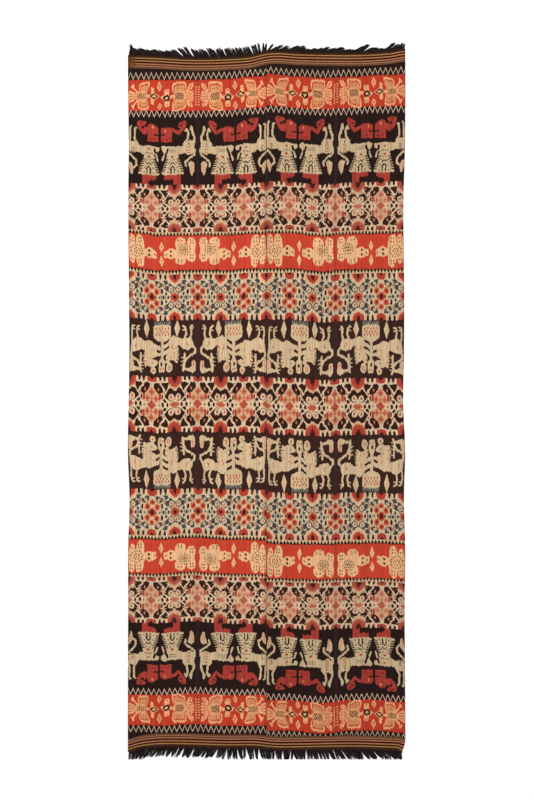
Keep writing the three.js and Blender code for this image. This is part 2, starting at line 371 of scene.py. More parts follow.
# Two rearing beasts beside a tree on a mound. y is up towards the cloth's middle.
beasts = {
    "start": 28, "stop": 84, "zero": 84, "towards": -1,
    "ground": dye(55, 33, 24),
    "inks": {
        "cream": dye(217, 188, 150), "rust": dye(186, 96, 68), "peach": dye(226, 178, 142),
        "slate": dye(128, 128, 118),
    },
    "shapes": [
        ("cream", "line", 1.6, [(3, 24), (2.4, 13), (3.2, 7.5), (5.4, 6.9)]),
        *strokes("cream", 1.2, [(2.6, 9.8, 2.6, 0.4), (8, 10, 2.4, 0.4)]),
        ("cream", "line", 1.6, [(9, 21), (7.4, 13), (8.2, 7.5), (10.4, 6.9)]),
        *drawn(
            "cream", "area",
            [(1.2, 31.5), (4, 33), (9, 31.5), (14, 29.5), (31.5, 31), (31.5, 25), (26, 23.5), (21, 20),
             (16, 21.5), (11, 18.5), (6, 18), (2, 23)],
            [(16, 27), (14, 37), (14.5, 43), (16, 47), (18.5, 45), (21, 46.5), (25.5, 46.5), (29.5, 42),
             (28.5, 39.5), (25, 38.5), (27, 35.5), (32, 35), (32, 27)]),
        *strokes("ground", 0.8, [(13.5, 42, 2.5, -1), (13.2, 38.5, 2.4, -0.9), (13.6, 34.5, 2.2, -0.7)]),
        *strokes("ground", 1.0, [(13.4, 44.4, 1.9, -0.5), (13.2, 36.4, 1.7, -0.5), (13.4, 32.2, 2, -0.4)]),
        *strokes("rust", 0.6, [
            (16.4, 40.4, 0.2, 1.6), (21.4, 37, 0.4, 1.8), (17.4, 33.4, 0.3, 1.6), (23.6, 35, 1.4, 0.4)]),
        ("peach", "line", 0.9, [(18, 43.5), (18.6, 40), (18.2, 36)]),
        ("peach", "line", 0.8, [(20.4, 44), (20.8, 41)]),
        *strokes("rust", 0.6, [(22.5, 31.5, 0.5, -2.5), (25, 30, 0.4, -2)]),
        ("cream", "oval", (24.5, 49.8, 2.9, 3.4)),
        ("rust", "oval", (24.6, 49.8, 1.0, 1.2)),
        ("ground", "line", 1.9, [(24.6, 38), (29, 35.6)]),
        *drawn("ground", "oval", (28.8, 29.9, 1.4, 1.5), (30.6, 30.9, 1.3, 1.3)),
        ("slate", "oval", (24, 42, 0.9, 0.9)),
        ("rust", "line", 0.9, [(6.2, 28), (6.9, 25)]),
        ("cream", "line", 2.1, [
            (2, 32), (1.8, 37), (4.5, 39.5), (8.5, 41.5), (10.6, 45.5), (10.6, 49.5), (12, 52)]),
        ("cream", "line", 1.8, [(11.4, 34.5), (11.2, 46)]),
        *strokes("cream", 1.0, [
            (11.6, 37, 2, -0.6), (11.6, 42.4, 2, 0.2), (11.6, 45.4, 2, 0.2), (12, 49, 1.8, -0.4)]),
        ("cream", "area", [
            (0.4, 46), (4.2, 46.2), (6.6, 47.8), (10.4, 47.6), (10.6, 50), (6, 51.2), (2.6, 52.4),
            (0.4, 52.4)]),
        ("peach", "area", [(0.4, 39), (2.6, 38.6), (4.2, 42), (4.4, 46.6), (0.4, 47)]),
        ("cream", "line", 2.8, [(33.2, 20), (33.2, 41)]),
        ("cream", "area", [(30, 38.5), (30, 51.5), (36.2, 51.5), (36.2, 38.5)]),
        ("ground", "oval", (32.8, 43.6, 1.1, 2.0)),
        *drawn("rust", "oval", (32, 48.4, 0.8, 0.9), (34.6, 48, 0.7, 0.9)),
        ("cream", "area", [
            (24.6, 3.5), (24.6, 17), (28.5, 19.5), (33.2, 21.5), (38, 19.5), (42.2, 17), (42.2, 3.5)]),
        *dashes("rust", np.arange(27.2, 40.6, 3.1), (7.6, 13.6), 0.7, 1.5),
        *dashes("rust", np.arange(28.75, 40, 3.1), (10.6,), 0.7, 1.3),
        *dashes("slate", np.arange(26, 42, 1.9), (2.4,), 0.6, 2.2),
        *rings("lozenge", 17.6, 9.2, ("cream", 2.8, 9.4), ("peach", 0.9, 4)),
        *rings("lozenge", 48.6, 8, ("cream", 3.0, 8.8), ("peach", 1.0, 4)),
        ("cream", "line", 3.4, [(33.5, 33.5), (42, 28)]),
        ("cream", "line", 3.2, [(34, 26.6), (42, 21.5)]),
        ("cream", "area", [
            (36.6, 42.5), (37, 35), (40.5, 30), (42, 25), (49, 25), (50.5, 33), (49.8, 39), (48.4, 42.5),
            (45.5, 40), (43, 38.8), (40, 40)]),
        ("cream", "oval", (40.6, 46.6, 3.1, 5.0)),
        ("cream", "line", 2.4, [(39.6, 43), (39, 38.6)]),
        *rings("oval", 40.6, 47.2, ("rust", 1.3, 2.3), ("cream", 0.6, 1.4)),
        *strokes("ground", 0.8, [(51, 38, -2.2, -0.8), (51, 34.6, -2, -0.6), (50.6, 31.2, -2, -0.4)]),
        *strokes("ground", 1.0, [
            (51, 36.4, -1.9, -0.5), (51, 33, -1.8, -0.5), (50, 40, -1.9, -0.6), (36.4, 38.4, 1.6, 0.4)]),
        *strokes("rust", 0.6, [
            (41, 36.4, 0.4, 1.8), (44.6, 35, 0.2, 1.8), (47.4, 37.6, 0.2, 1.6), (45.2, 31.6, 0.3, 1.6)]),
        ("cream", "area", [
            (40, 31), (47, 25.5), (51, 25), (54, 28.6), (60, 30), (64, 27), (64.6, 23), (62.6, 17),
            (53, 18.5), (49, 17), (45, 14.6), (40, 18)]),
        ("ground", "oval", (39.3, 27, 1.3, 0.9)),
        ("cream", "line", 1.9, [(55, 20), (57.6, 13.5), (56.4, 7), (54.4, 5.4)]),
        *strokes("cream", 1.2, [(56.8, 9, -2.6, 0.6), (62, 8.6, 2.6, -0.8)]),
        ("cream", "line", 1.8, [(61.5, 19), (62.8, 13), (61.8, 7), (63.6, 5)]),
        ("cream", "line", 2.1, [
            (63.5, 25), (66.4, 29), (66.2, 32.5), (62, 35), (57.6, 38), (55.6, 43), (55, 49.5)]),
        ("cream", "line", 2.0, [(55.8, 33.5), (55, 41), (54.6, 50.5)]),
        *strokes("cream", 1.0, [(54.8, 37.4, -2.2, -0.4), (54.6, 41, -2.2, 0), (54.4, 44.6, -2, 0.4)]),
        *strokes("ground", 0.7, [(53, 42.5, 2, -0.7), (53, 39.5, 2, -0.5)]),
        ("cream", "area", [
            (55.6, 47.6), (60.6, 48), (62.6, 46.6), (67.2, 46.4), (67, 50.6), (65.2, 53), (61.8, 52.2),
            (59.6, 50.6), (55.6, 50)]),
        ("peach", "area", [(63.2, 40), (66.6, 40.4), (67.2, 47.4), (62.8, 47.6)]),
        ("rust", "line", 0.7, [(64.4, 46.6), (65, 42)]),
        ("rust", "line", 0.8, [(44.6, 28.6), (43, 26.4), (43.6, 24)]),
        ("rust", "line", 0.8, [(47, 27.6), (49, 25.8)]),
        ("rust", "line", 0.9, [(59.8, 25.4), (58, 24), (58.4, 21.6)]),
    ],
}

# Two crowned creatures over two small red animals with curled tails.
creatures = {
    "start": 219, "stop": 286, "zero": 285, "towards": -1,
    "ground": dye(34, 21, 14),
    "inks": {"cream": dye(205, 179, 142), "red": dye(170, 61, 50), "peach": dye(220, 146, 114)},
    "shapes": [
        ("cream", "line", 1.9, [(2.6, 8.6), (1.4, 9.8), (1.5, 20.4), (0.4, 25)]),
        ("cream", "line", 1.9, [(7.4, 9.6), (6.2, 10.8), (5.9, 20.6), (9, 26.4)]),
        ("cream", "area", [
            (0.2, 24), (3, 23.6), (6.4, 23.4), (9.4, 27.2), (14, 28), (20, 27.4), (26, 28.2), (30.8, 28.6),
            (31, 32), (28.4, 33.6), (27.4, 35.8), (14, 36.6), (9.2, 33.6), (5, 35), (0.2, 33.6)]),
        ("cream", "line", 1.7, [(26.8, 34), (28.2, 38), (29.2, 41.6)]),
        ("ground", "line", 2.3, [(26, 31), (26.8, 34), (29.4, 34.8)]),
        *dashes("ground", (4.6,), (29.6, 33.6), 1.4, 0.5),
        *drawn("red", "oval", (5, 31.6, 1.5, 0.5), (20.2, 31, 1.3, 0.8)),
        *dashes("ground", (17.4, 19.4, 21.4, 23.4), (35.2,), 0.55, 0.7),
        ("cream", "line", 1.9, [(0.4, 35.6), (3.4, 38.6), (7.4, 42.8), (8, 47.6), (5.4, 50)]),
        ("cream", "area", [(0.4, 43.6), (3.6, 46.8), (5, 51), (4, 56.6), (2.4, 57.4), (0.4, 49)]),
        ("peach", "line", 0.9, [(1.6, 47), (2.8, 55)]),
        ("peach", "line", 0.7, [(3.2, 48.6), (4, 54)]),
        ("red", "block", [
            (14, 55.6), (14.2, 66.2), (20, 66.8), (20.2, 61.6), (21.6, 62.8), (23, 61.2), (25.6, 62),
            (26, 60.6), (28, 60), (28.2, 55.6)]),
        *mane(20.4, 36, 56.4, 4.7, 10.2),
        ("cream", "line", 2.0, [(57, 12.8), (58.2, 10.8), (59.8, 15), (59.2, 20.6), (55.6, 25.4)]),
        ("cream", "line", 2.2, [(62.2, 11.8), (62.9, 8.6), (63.6, 13.4), (65.8, 19), (65.6, 24)]),
        ("cream", "area", [
            (32.6, 28.2), (36, 27), (40, 28), (46, 27.8), (54, 28.2), (56.4, 24.6), (60, 22.4),
            (65.6, 21.8), (66.4, 28), (65.4, 34.6), (61, 36.6), (56.4, 34.6), (53, 36), (44, 37.6),
            (38, 36.4), (35, 33.6), (33.4, 31.6)]),
        ("cream", "line", 1.7, [(36.6, 35), (35, 38.6), (34, 41.6)]),
        ("ground", "line", 2.2, [(37, 36.4), (38.8, 33), (39.4, 30.8)]),
        ("ground", "line", 1.3, [(32.6, 33.4), (34.6, 35.6)]),
        *dashes("ground", (42, 43.8, 45.6, 47.4), (31.4, 33.4), 0.65, 0.45),
        *dashes("red", (59.4, 61.4), (28.2, 31.2, 34), 0.55, 0.9),
        ("ground", "oval", (60.4, 25.4, 0.7, 1.0)),
        ("cream", "line", 1.9, [(66.6, 31), (66.2, 36.4), (60, 40.8), (56.9, 44), (57.6, 47.6)]),
        ("cream", "area", [
            (59.4, 44.6), (61.2, 50), (62, 55.4), (63.6, 56.8), (66, 52), (66.2, 45), (63.4, 42.6)]),
        ("peach", "line", 1.1, [(62.6, 48), (63.4, 54.6)]),
        ("peach", "line", 0.8, [(64.6, 46), (65, 52)]),
        ("red", "block", [
            (36, 54.6), (36.2, 60.6), (39, 59.8), (39.6, 61), (44.8, 60.4), (45.2, 65.6), (46.6, 66),
            (47.4, 64.6), (49, 66), (52.2, 65.8), (52.4, 54.6)]),
        *mane(44.4, 36, 55.6, 5.4, 11),
        ("red", "area", [
            (8.2, 4.6), (9.4, 2.8), (17.2, 3), (18.4, 5.2), (16, 6.4), (17.6, 9.4), (19.6, 9), (20, 14),
            (17, 16.6), (13.6, 15.6), (10, 11.6)]),
        ("ground", "oval", (14.6, 8.8, 1.5, 1.3)),
        *strokes("ground", 0.9, [(15, 7.6, 3.6, 0), (11.6, 4.8, 2, -0.4)]),
        ("red", "block", [
            (19, 8.6), (20.2, 6), (23.6, 5), (27, 7.2), (30, 9.4), (30, 15.8), (25.4, 15.8), (25.4, 17.4),
            (30, 17.4), (30, 23.2), (19.2, 23.6), (19.2, 16)]),
        *dashes("ground", (22.2, 25, 27.6), (20.6,), 0.4, 0.9),
        ("peach", "oval", (24.4, 8.8, 0.9, 1.4)),
        ("red", "block", [
            (32.3, 10.6), (36, 9), (43, 9.4), (44, 12), (43.4, 23.4), (32.3, 23.6), (32.3, 17.4),
            (36.4, 17.4), (36.4, 15.9), (32.3, 15.9)]),
        *dashes("ground", (35, 38, 40.8), (20.6,), 0.4, 0.9),
        ("peach", "oval", (36.8, 12.4, 0.5, 1.5)),
        ("red", "line", 3.2, [(42.6, 11.4), (46.4, 12.4), (50.4, 15.2), (53.4, 11.4), (55.4, 7.4)]),
        ("red", "area", [
            (50, 9.8), (50.2, 5.8), (53.6, 3.2), (57.8, 2.4), (58.2, 6), (57, 9.6), (54, 11.4)]),
        ("ground", "oval", (52.6, 7.8, 1.3, 0.8)),
        ("ground", "line", 0.7, [(53.6, 5.4), (56, 4.8)]),
    ],
}


# A wing: a pale rim, a red line and a tan middle, all from the same root, with rows of dashes.
def wing(root, points, rows):
    root, points = np.array(root), np.array(points)
    sizes = (("peach", 1), ("ground", 0.81), ("tan", 0.7))
    shapes = [(ink, "area", root + (points - root) * size) for ink, size in sizes]
    for x, y, count in rows:
        shapes += dashes("ground", x + 1.9 * np.arange(count), (y,), 0.7, 0.5)
    return shapes


# Two birds with spread wings on red. y is from the band's middle.
birds = {
    "start": 292, "stop": 323, "zero": 307, "towards": 1,
    "ground": dye(194, 61, 38),
    "inks": {"peach": dye(238, 172, 122), "tan": dye(220, 154, 104), "dark": dye(42, 26, 18)},
    "shapes": [
        ("peach", "area", [(0.3, 6.6), (8.8, 2), (8.8, -2.6), (0.3, -7.6)]),
        *strokes("ground", 0.8, [(0.2, 3, 6, -1.8), (0.2, -0.6, 6, 0), (0.2, -4.2, 6, 2)]),
        ("peach", "line", 1.8, [(4.8, 10.4), (6.4, 7), (9.6, 3)]),
        ("peach", "line", 1.5, [(3.6, 8.4), (5.6, 11.4)]),
        ("peach", "line", 1.8, [(4.6, -11.4), (6.6, -8), (10, -4)]),
        ("peach", "line", 1.5, [(3.6, -9.4), (5.4, -12.4)]),
        ("peach", "area", [(9.6, 5), (18.8, 5), (18.8, -6), (9.6, -6)]),
        *wing(
            (15.4, 2.4), [(10.8, 2.4), (11, 10), (13, 12.8), (20.8, 14), (22, 13.6), (22, 10.4), (18.6, 2.4)],
            [(14, 9.2, 3), (14.4, 6.6, 2)]),
        *wing(
            (14.6, -3.4),
            [(9.8, -3.4), (10, -11.6), (11.4, -13.8), (19.2, -14), (20.6, -12.6), (20.4, -8), (18.8, -3.4)],
            [(12.6, -9.4, 3), (13.2, -7, 3)]),
        ("peach", "oval", (13.6, -0.6, 6.6, 4.2)),
        ("tan", "oval", (13.4, -0.6, 5.2, 3.2)),
        *strokes("dark", 0.9, [(x, y, 0.8, 0.3) for y in (1.3, -0.6, -2.5) for x in np.arange(9.4, 18, 2.0)]),
        ("peach", "line", 2.4, [(18.6, -0.6), (23, -0.4)]),
        *drawn(
            "peach", "area",
            [(22.8, 1.6), (23.2, 8.6), (26.2, 8.4), (26.2, 1.6)],
            [(22.4, -2), (22.4, -8.2), (25.4, -8.2), (26, -2)]),
        *rings("lozenge", 25.8, -0.3, ("peach", 5.6, 4.0), ("dark", 4.4, 3.2)),
        ("peach", "lozenge", (26, -0.3, 2.4, 1.5)),
        *rings("lozenge", 31.6, 9.2, ("peach", 2.5, 5.2), ("ground", 1.2, 2.5), ("peach", 0.6, 1.2)),
        *rings("lozenge", 31.4, -10.6, ("peach", 2.4, 4.3), ("ground", 1.1, 2.0), ("peach", 0.5, 0.9)),
        *drawn(
            "peach", "area",
            [(36.4, 1), (36.6, 7), (41.4, 7), (41.2, 1)],
            [(36.4, -5), (36.4, -11), (41.2, -11), (41.4, -5)]),
        *strokes("ground", 0.8, [(38, 5.4, 1.8, 0.2), (38, -9.4, 1.8, 0.2)]),
        ("peach", "lozenge", (38, -1.6, 6, 4.7)),
        *rings("oval", 38.4, -1.8, ("dark", 3.5, 3.3), ("peach", 1.6, 1.3)),
        ("peach", "line", 3.0, [(43.4, -0.8), (47, -0.6)]),
        ("peach", "area", [(46.4, 6), (57, 6), (57, -7), (47, -7)]),
        *wing(
            (51.4, 3.2),
            [(44.4, 3.2), (44, 10.4), (45.6, 13.6), (56.4, 14.4), (58.4, 12.8), (58.2, 8), (57.4, 3.2)],
            [(48.2, 9.8, 4), (48.6, 7.2, 4)]),
        *wing(
            (51.6, -4.2),
            [(46, -4.2), (44, -9), (43.8, -15), (45.2, -15.8), (50.4, -15), (56.8, -12), (57.8, -9.6),
             (57.4, -4.2)],
            [(47.6, -10.4, 4), (48.8, -8, 4)]),
        ("peach", "oval", (51.4, -0.6, 6.6, 5.2)),
        ("tan", "oval", (51.2, -0.6, 5.4, 4.2)),
        *strokes("dark", 0.85, [
            (x + d, y, 0.7, -1.3)
            for y, d in ((2.6, 0), (0.3, 0.8), (-2, 0.2))
            for x in np.arange(47.2, 55, 1.75)]),
        *drawn(
            "peach", "area",
            [(56.4, 2), (65.6, 6), (66, -6.4), (56.4, -3)],
            [(57.4, 3.6), (62, 12.4), (65.6, 13.4), (65.4, 9), (60.6, 4)],
            [(57.4, -4.4), (60.6, -10.6), (64.6, -11), (64.8, -8.4), (61, -4.4)]),
        *strokes("ground", 0.8, [(58.6, 0.8, 7.4, 2.6), (58.8, -0.7, 7.4, 0.3), (58.6, -2.2, 7.4, -2)]),
        *strokes("ground", 0.7, [(60.4, 5.6, 3.6, 6), (60.4, -5.8, 3, -4)]),
        *dashes("peach", (68,), np.arange(-9, 10, 2.6), 0.8, 0.8),
    ],
}

# Two four-limbed creatures on orange red.
crawlers = {
    "start": 134.4, "stop": 168.6, "zero": 151.5, "towards": 1,
    "ground": dye(205, 68, 44),
    "inks": {"peach": dye(241, 187, 138), "dark": dye(84, 56, 28)},
    "shapes": [
        *drawn(
            "peach", "area",
            [(1, 6), (0.8, 13), (2.6, 15.8), (4.6, 15.8), (6.4, 13), (6.6, 8), (5.6, 4)],
            [(7.4, 5), (7.6, 13), (9.4, 16.4), (12, 16.2), (14.6, 13.6), (15.8, 9), (15.8, 3), (8, 3)],
            [(0.8, 7.4), (0.4, 0), (0.8, -6.4), (4, -7.2), (15.8, -6.4), (16.6, -1), (16.2, 6.4),
             (12, 7.6)],
            [(1, -3), (1.2, -9), (3, -12.8), (5, -12.8), (6.6, -9.4), (6.8, -4)],
            [(7.6, -3), (8, -10), (10, -15.2), (12.6, -15.8), (15.6, -13), (16, -3)],
            [(14.6, 2.8), (18, 2.8), (20.6, 5.4), (23, 4.6), (27.8, 1.6), (28.8, -0.6), (27.4, -1.6),
             (28.6, -4.8), (27.4, -5.6), (25, -4.8), (20.6, -5.8), (17.6, -4), (14.6, -3.6)]),
        *dashes("dark", (20.8,), (1.7, -2.6), 1.3, 1.3),
        ("dark", "oval", (26.4, -1.4, 0.7, 0.9)),
        *dashes("dark", (2.4, 4.6), (12.4, 9, -8.6), 0.62, 0.8),
        *dashes("dark", (10, 12.6), (12.8, 9.4, -9, -11.8), 0.62, 0.8),
        *rosette("dark", 8.4, 0.2, 5.6, 13, 0.62, 0.8),
        *rosette("dark", 8.4, 0.2, 2.7, 7, 0.66, 0.8),
        ("dark", "oval", (8.4, 0.2, 0.6, 0.8)),
        *dashes("dark", (1.6, 15), (2.6, -1.6), 0.5, 0.6),
        ("peach", "lozenge", (33, 5.8, 2.3, 5.6)),
        ("dark", "line", 0.4, [(32.8, 6.6), (33.2, 4.8)]),
        ("peach", "lozenge", (33, -8.2, 2.3, 6)),
        ("dark", "line", 0.4, [(32.8, -7.2), (33.2, -9)]),
        ("peach", "area", [
            (35.6, -0.4), (36, 2.2), (38.4, 2.4), (42.6, 5), (46, 4), (50, 3), (50, -4), (46, -4.8),
            (42.6, -6.6), (38.6, -4.4), (36, -4.8), (35.8, -2.6)]),
        *dashes("dark", (42.6,), (1.6, -2.9), 1.1, 1.2),
        ("dark", "oval", (37.9, -1.2, 0.7, 0.9)),
        *drawn(
            "peach", "area",
            [(48, 5.4), (50, 8), (60, 8.4), (66, 5.4), (67, 2), (66, -2), (62, -5.4), (50, -6.4), (48, -4)],
            [(46.8, 7), (47, 12), (49.4, 15), (53, 15.6), (56.6, 14.2), (57.9, 10), (57.6, 5), (49, 4)],
            [(59.2, 5), (59, 12), (61, 15), (64, 15.4), (66.8, 13.4), (67.6, 9), (67, 4), (61, 3)],
            [(46.8, -4), (47, -9), (49.6, -11.8), (54, -12), (57.4, -10), (57.8, -4)],
            [(59.4, -1), (59.4, -6.6), (61.6, -9), (65, -9), (67.6, -5.6), (67.4, 0)]),
        *rosette("dark", 56.4, 3.6, 5.2, 12, 0.62, 0.8),
        *rosette("dark", 56.4, 3.6, 3, 9, 0.7, 0.7),
        *rosette("dark", 56.4, 3.6, 1.2, 4, 0.66, 0.75),
        *dashes("dark", (50, 53.4), (12, -7.6, -9.8), 0.62, 0.8),
        *dashes("dark", (62.4, 64.8), (12.4, 9.4, -2.4, -5.6), 0.62, 0.8),
    ],
}

# Half a cell of the two dark lattice bands, from a flower at x = 0 to a pair of eyes at its other side.
# y is from the band's middle.
lattice = {
    "width": 23.9, "height": 27.8,
    "inks": ["blush", "dark", "arc", "rust", "red", "pink", "wine"],
    "shapes": [
        *drawn(
            "blush", "area",
            [(-12, 18.6), (2, 18), (4.4, 12.6), (9.9, 11.8), (10, 4.4), (7.4, 2.6), (-12, 2.6)],
            [(16.4, 24), (16.6, 20.4), (19, 17.8), (22, 14.4), (36, 14.4), (36, 24)]),
        *drawn(
            "dark", "area",
            [(7.1, 34), (7.3, 24.8), (8.6, 23.2), (9.9, 24.8), (10.1, 34)],
            [(11.8, 34), (12, 24.8), (13.3, 23.2), (14.6, 24.8), (14.8, 34)]),
        ("red", "area", [(-12, 34), (-12, 22.6), (4, 22.7), (5, 25), (5, 34)]),
        ("dark", "area", [(-12, 34), (-3, 25.2), (0, 25), (2, 27), (2.8, 34)]),
        ("rust", "area", [
            (16.8, 34), (16.7, 22.4), (18.4, 20.2), (21.4, 17.6), (24, 16.6), (36, 16.6), (36, 34)]),
        ("red", "area", [
            (17.3, 34), (17.3, 23.6), (20.2, 21.6), (22.3, 18.6), (24, 17.8), (36, 17.8), (36, 34)]),
        ("wine", "area", [(20.6, 34), (21.4, 24.6), (24, 20.8), (36, 20.8), (36, 34)]),
        *drawn(
            "dark", "area",
            [(20, 34), (21.8, 26.6), (24, 24.4), (36, 24.4), (36, 34)],
            [(1.8, 20.8), (4, 22.2), (7.4, 22.3), (8.6, 19), (11.6, 15.8), (11.4, 11.6), (7.8, 11),
             (4.6, 13.6), (2.2, 17)]),
        ("pink", "oval", (7, 15.8, 0.8, 1.7)),
        ("dark", "area", [
            (9.2, 21.2), (12.8, 22.3), (17.3, 22.4), (17.2, 18), (15.6, 14.8), (14.2, 13.4), (13.2, 16.4),
            (10.8, 18.8)]),
        ("rust", "lozenge", (12.8, 11.9, 1.1, 1.9)),
        ("dark", "area", [
            (12.8, 9), (15, 12), (16.9, 15.2), (19.2, 16.9), (21.4, 14.8), (22.8, 13.4), (28, 13.2),
            (28, 8.8), (23, 8.8), (21.8, 5), (21.6, 4), (19.8, 3.4), (17.4, 4.6), (15.2, 6.6)]),
        ("arc", "area", [(17.6, 12.4), (19.2, 17.2), (21.6, 15.4), (23, 14), (28, 13.8), (28, 8), (20, 8)]),
        ("dark", "line", 2.2, [(15.4, 8), (16.8, 11.6), (19.6, 13.4), (21.4, 12.6)]),
        ("dark", "line", 1.3, [(22.6, 9.6), (24.6, 9.8)]),
        ("dark", "oval", (19.9, 8.1, 3.7, 4.5)),
        ("cream", "oval", (20.3, 7.6, 2.8, 3.3)),
        ("rust", "oval", (20.2, 7.7, 1.1, 1.7)),
        ("dark", "area", [(11.6, 5.4), (13.2, 6.8), (15, 5), (16, 3.4), (14.4, 2.4), (12.6, 3)]),
        *rings("lozenge", 22.8, 0, ("pink", 4.6, 3.9), ("rust", 2.7, 2.3)),
        *drawn("dark", "oval", (11.7, 0.6, 1.3, 1.8), (16.5, 0.4, 1.2, 1.9), (7.7, 0.2, 0.6, 1.2)),
        *strokes("arc", 0.7, [(11.8, 13.6, -1.5, 0.5), (17.2, 19.6, -1.5, 0.4), (13.8, 9.4, 1.8, 0.3)]),
        *rings("lozenge", 4.4, 6.4, ("pink", 2.9, 3.9), ("rust", 1.4, 1.8)),
        ("red", "area", [(6.9, 11.2), (9.5, 11.4), (9.6, 4.8), (7, 5)]),
        ("wine", "oval", (10.8, 7.8, 0.9, 2.6)),
        *rings("lozenge", 0, 12.8, ("pink", 3.9, 4.2), ("rust", 2.1, 2.2)),
        ("pink", "lozenge", (0, 6.5, 1.6, 1.9)),
        *rings("lozenge", 0, 0, ("rust", 5.0, 5.0), ("red", 2.7, 2.7)),
        ("pink", "oval", (0, 0, 0.8, 0.9)),
    ],
}
# The same for the pale lattice band.
paleLattice = {
    "width": 24, "height": 23.4,
    "inks": ["halo", "slate", "rust", "red", "wine"],
    "shapes": [
        ("halo", "area", [(16.4, 30), (16.4, 18.6), (19, 16), (22, 13.2), (36, 13.2), (36, 30)]),
        *drawn(
            "halo", "oval",
            (24, 0, 5.0, 5.1), (0, 0.6, 4.6, 4.6), (5.1, 5.9, 3.4, 4.1), (0, 10.4, 3.6, 3.5)),
        *drawn(
            "wine", "area",
            [(7.3, 30), (7.6, 19.8), (8.8, 17.4), (10, 19.8), (10.3, 30)],
            [(12.3, 30), (12.6, 20), (13.9, 17.2), (15.2, 19.8), (15.6, 30)]),
        ("red", "area", [(-12, 30), (-12, 16.6), (2.6, 16.6), (5, 19.6), (5.1, 30)]),
        ("wine", "area", [(-12, 30), (-12, 20), (1.4, 20.2), (2.8, 30)]),
        ("red", "area", [(17.8, 30), (18, 19.6), (21.2, 16.6), (24, 14.2), (36, 14.2), (36, 30)]),
        ("wine", "area", [(21.8, 30), (22.4, 19.8), (24, 17.8), (36, 17.8), (36, 30)]),
        ("slate", "area", [
            (3, 17), (7.2, 16.8), (8.4, 14.6), (11, 14), (11, 10.8), (7.4, 9), (6.2, 11.6), (3.4, 13.6)]),
        *rings("oval", 7, 13, ("cream", 1.5, 1.7), ("rust", 0.7, 0.9)),
        ("slate", "area", [(11, 17.4), (16.4, 17.6), (17, 14.2), (14.4, 12.6), (12.6, 15)]),
        ("rust", "lozenge", (12.3, 11, 1.1, 2.4)),
        ("slate", "area", [(13.4, 11), (16.4, 12.2), (18.2, 10), (17.4, 6.4), (14.4, 6.4)]),
        ("slate", "oval", (19, 12.4, 1.6, 1.4)),
        ("slate", "line", 1.4, [(20.4, 11.4), (22.4, 9.8), (24.6, 9.6)]),
        ("slate", "oval", (20, 8.2, 3.5, 3.9)),
        ("cream", "oval", (20.1, 8.2, 2.4, 2.8)),
        ("rust", "oval", (20.2, 8.2, 1.0, 1.3)),
        *drawn(
            "slate", "oval",
            (14.8, 3.9, 1.3, 1.8), (7.7, 0, 0.8, 1.4), (12, 0.2, 1.3, 2.0), (17.1, 0, 1.3, 1.9)),
        ("wine", "area", [(9.2, 8.6), (11.4, 8), (11.7, 4.6), (10.5, 2.6), (9.3, 4.2)]),
        ("rust", "oval", (5.1, 5.9, 2.8, 3.4)),
        ("red", "oval", (4.9, 5.7, 1.8, 2.3)),
        ("wine", "oval", (4.9, 5.6, 0.7, 1.0)),
        ("rust", "oval", (0, 10.4, 3.0, 2.8)),
        *rings("oval", 0, 10.2, ("red", 1.9, 1.7), ("wine", 0.7, 0.8)),
        *rings("oval", 0, 0.6, ("rust", 3.8, 3.9), ("red", 3.0, 3.3)),
        *drawn("wine", "oval", (0, 0.4, 1.9, 2.1), (4.1, 0.2, 0.7, 1.6)),
        ("rust", "lozenge", (24, 0, 5.6, 5.8)),
        *rings("oval", 24, 0, ("red", 3.5, 3.8), ("wine", 1.6, 1.7)),
        *strokes("slate", 0.8, [
            (9.2, 11.2, 2, 2.2), (12.6, 13.6, 1.8, -2), (14.2, 9.6, -1.6, -1.4), (3.4, 13, 2.2, -2.6),
            (9.6, 1.6, 0, -2.4), (14.4, 1.4, 0, -2.6), (19.6, 3.6, 1.4, -1), (15.8, 15.4, 1.8, -1.6)]),
    ],
}
# Where each lattice band lies along the warp, half its height, and its colours.
latticeBands = {
    "middle": {
        "at": 0, "half": 27.6,
        "cream": dye(228, 197, 163), "blush": dye(220, 172, 132), "dark": dye(49, 26, 16),
        "arc": dye(49, 26, 16), "rust": dye(186, 86, 60), "red": dye(180, 66, 52),
        "pink": dye(202, 118, 88), "wine": dye(92, 28, 26),
    },
    "outer": {
        "at": 195.6, "half": 23.4,
        "cream": dye(223, 190, 157), "blush": dye(214, 168, 132), "dark": dye(52, 28, 18),
        "arc": dye(206, 170, 132), "rust": dye(186, 104, 80), "red": dye(172, 74, 58),
        "pink": dye(206, 138, 108), "wine": dye(82, 30, 26),
    },
    "pale": {
        "at": 107.4, "half": 23.0,
        "cream": dye(216, 192, 158), "halo": dye(228, 176, 136), "slate": dye(68, 68, 66),
        "rust": dye(196, 106, 72), "red": dye(182, 64, 46), "wine": dye(62, 28, 20),
    },
}
# Zigzags: where they start, their height, the width of one tooth, and half the line's thickness
# along the warp. Those with teeth are filled on one side instead: towards the cloth's middle (-1)
# or its end (1).
zigzags = [
    {"at": 130.2, "height": 3.9, "tooth": 3.4, "teeth": -1, "color": dye(220, 188, 146)},
    {"at": 168.6, "height": 3.7, "tooth": 3.4, "teeth": 1, "color": dye(212, 174, 138)},
    {"at": 286.0, "height": 6.2, "tooth": 5.2, "line": 0.74, "color": dye(228, 194, 172)},
    {"at": 323.8, "height": 6.4, "tooth": 5.2, "line": 0.74, "color": dye(216, 186, 158)},
]

# How finely the charts are filled
samplesPerUnit = 14
chartRows = 257


# Softens an outline by cutting its corners.
def softened(points):
    points = np.array(points, float)
    after = np.roll(points, -1, 0)
    return np.stack([points * 0.84 + after * 0.16, points * 0.16 + after * 0.84], 1).reshape(-1, 2)


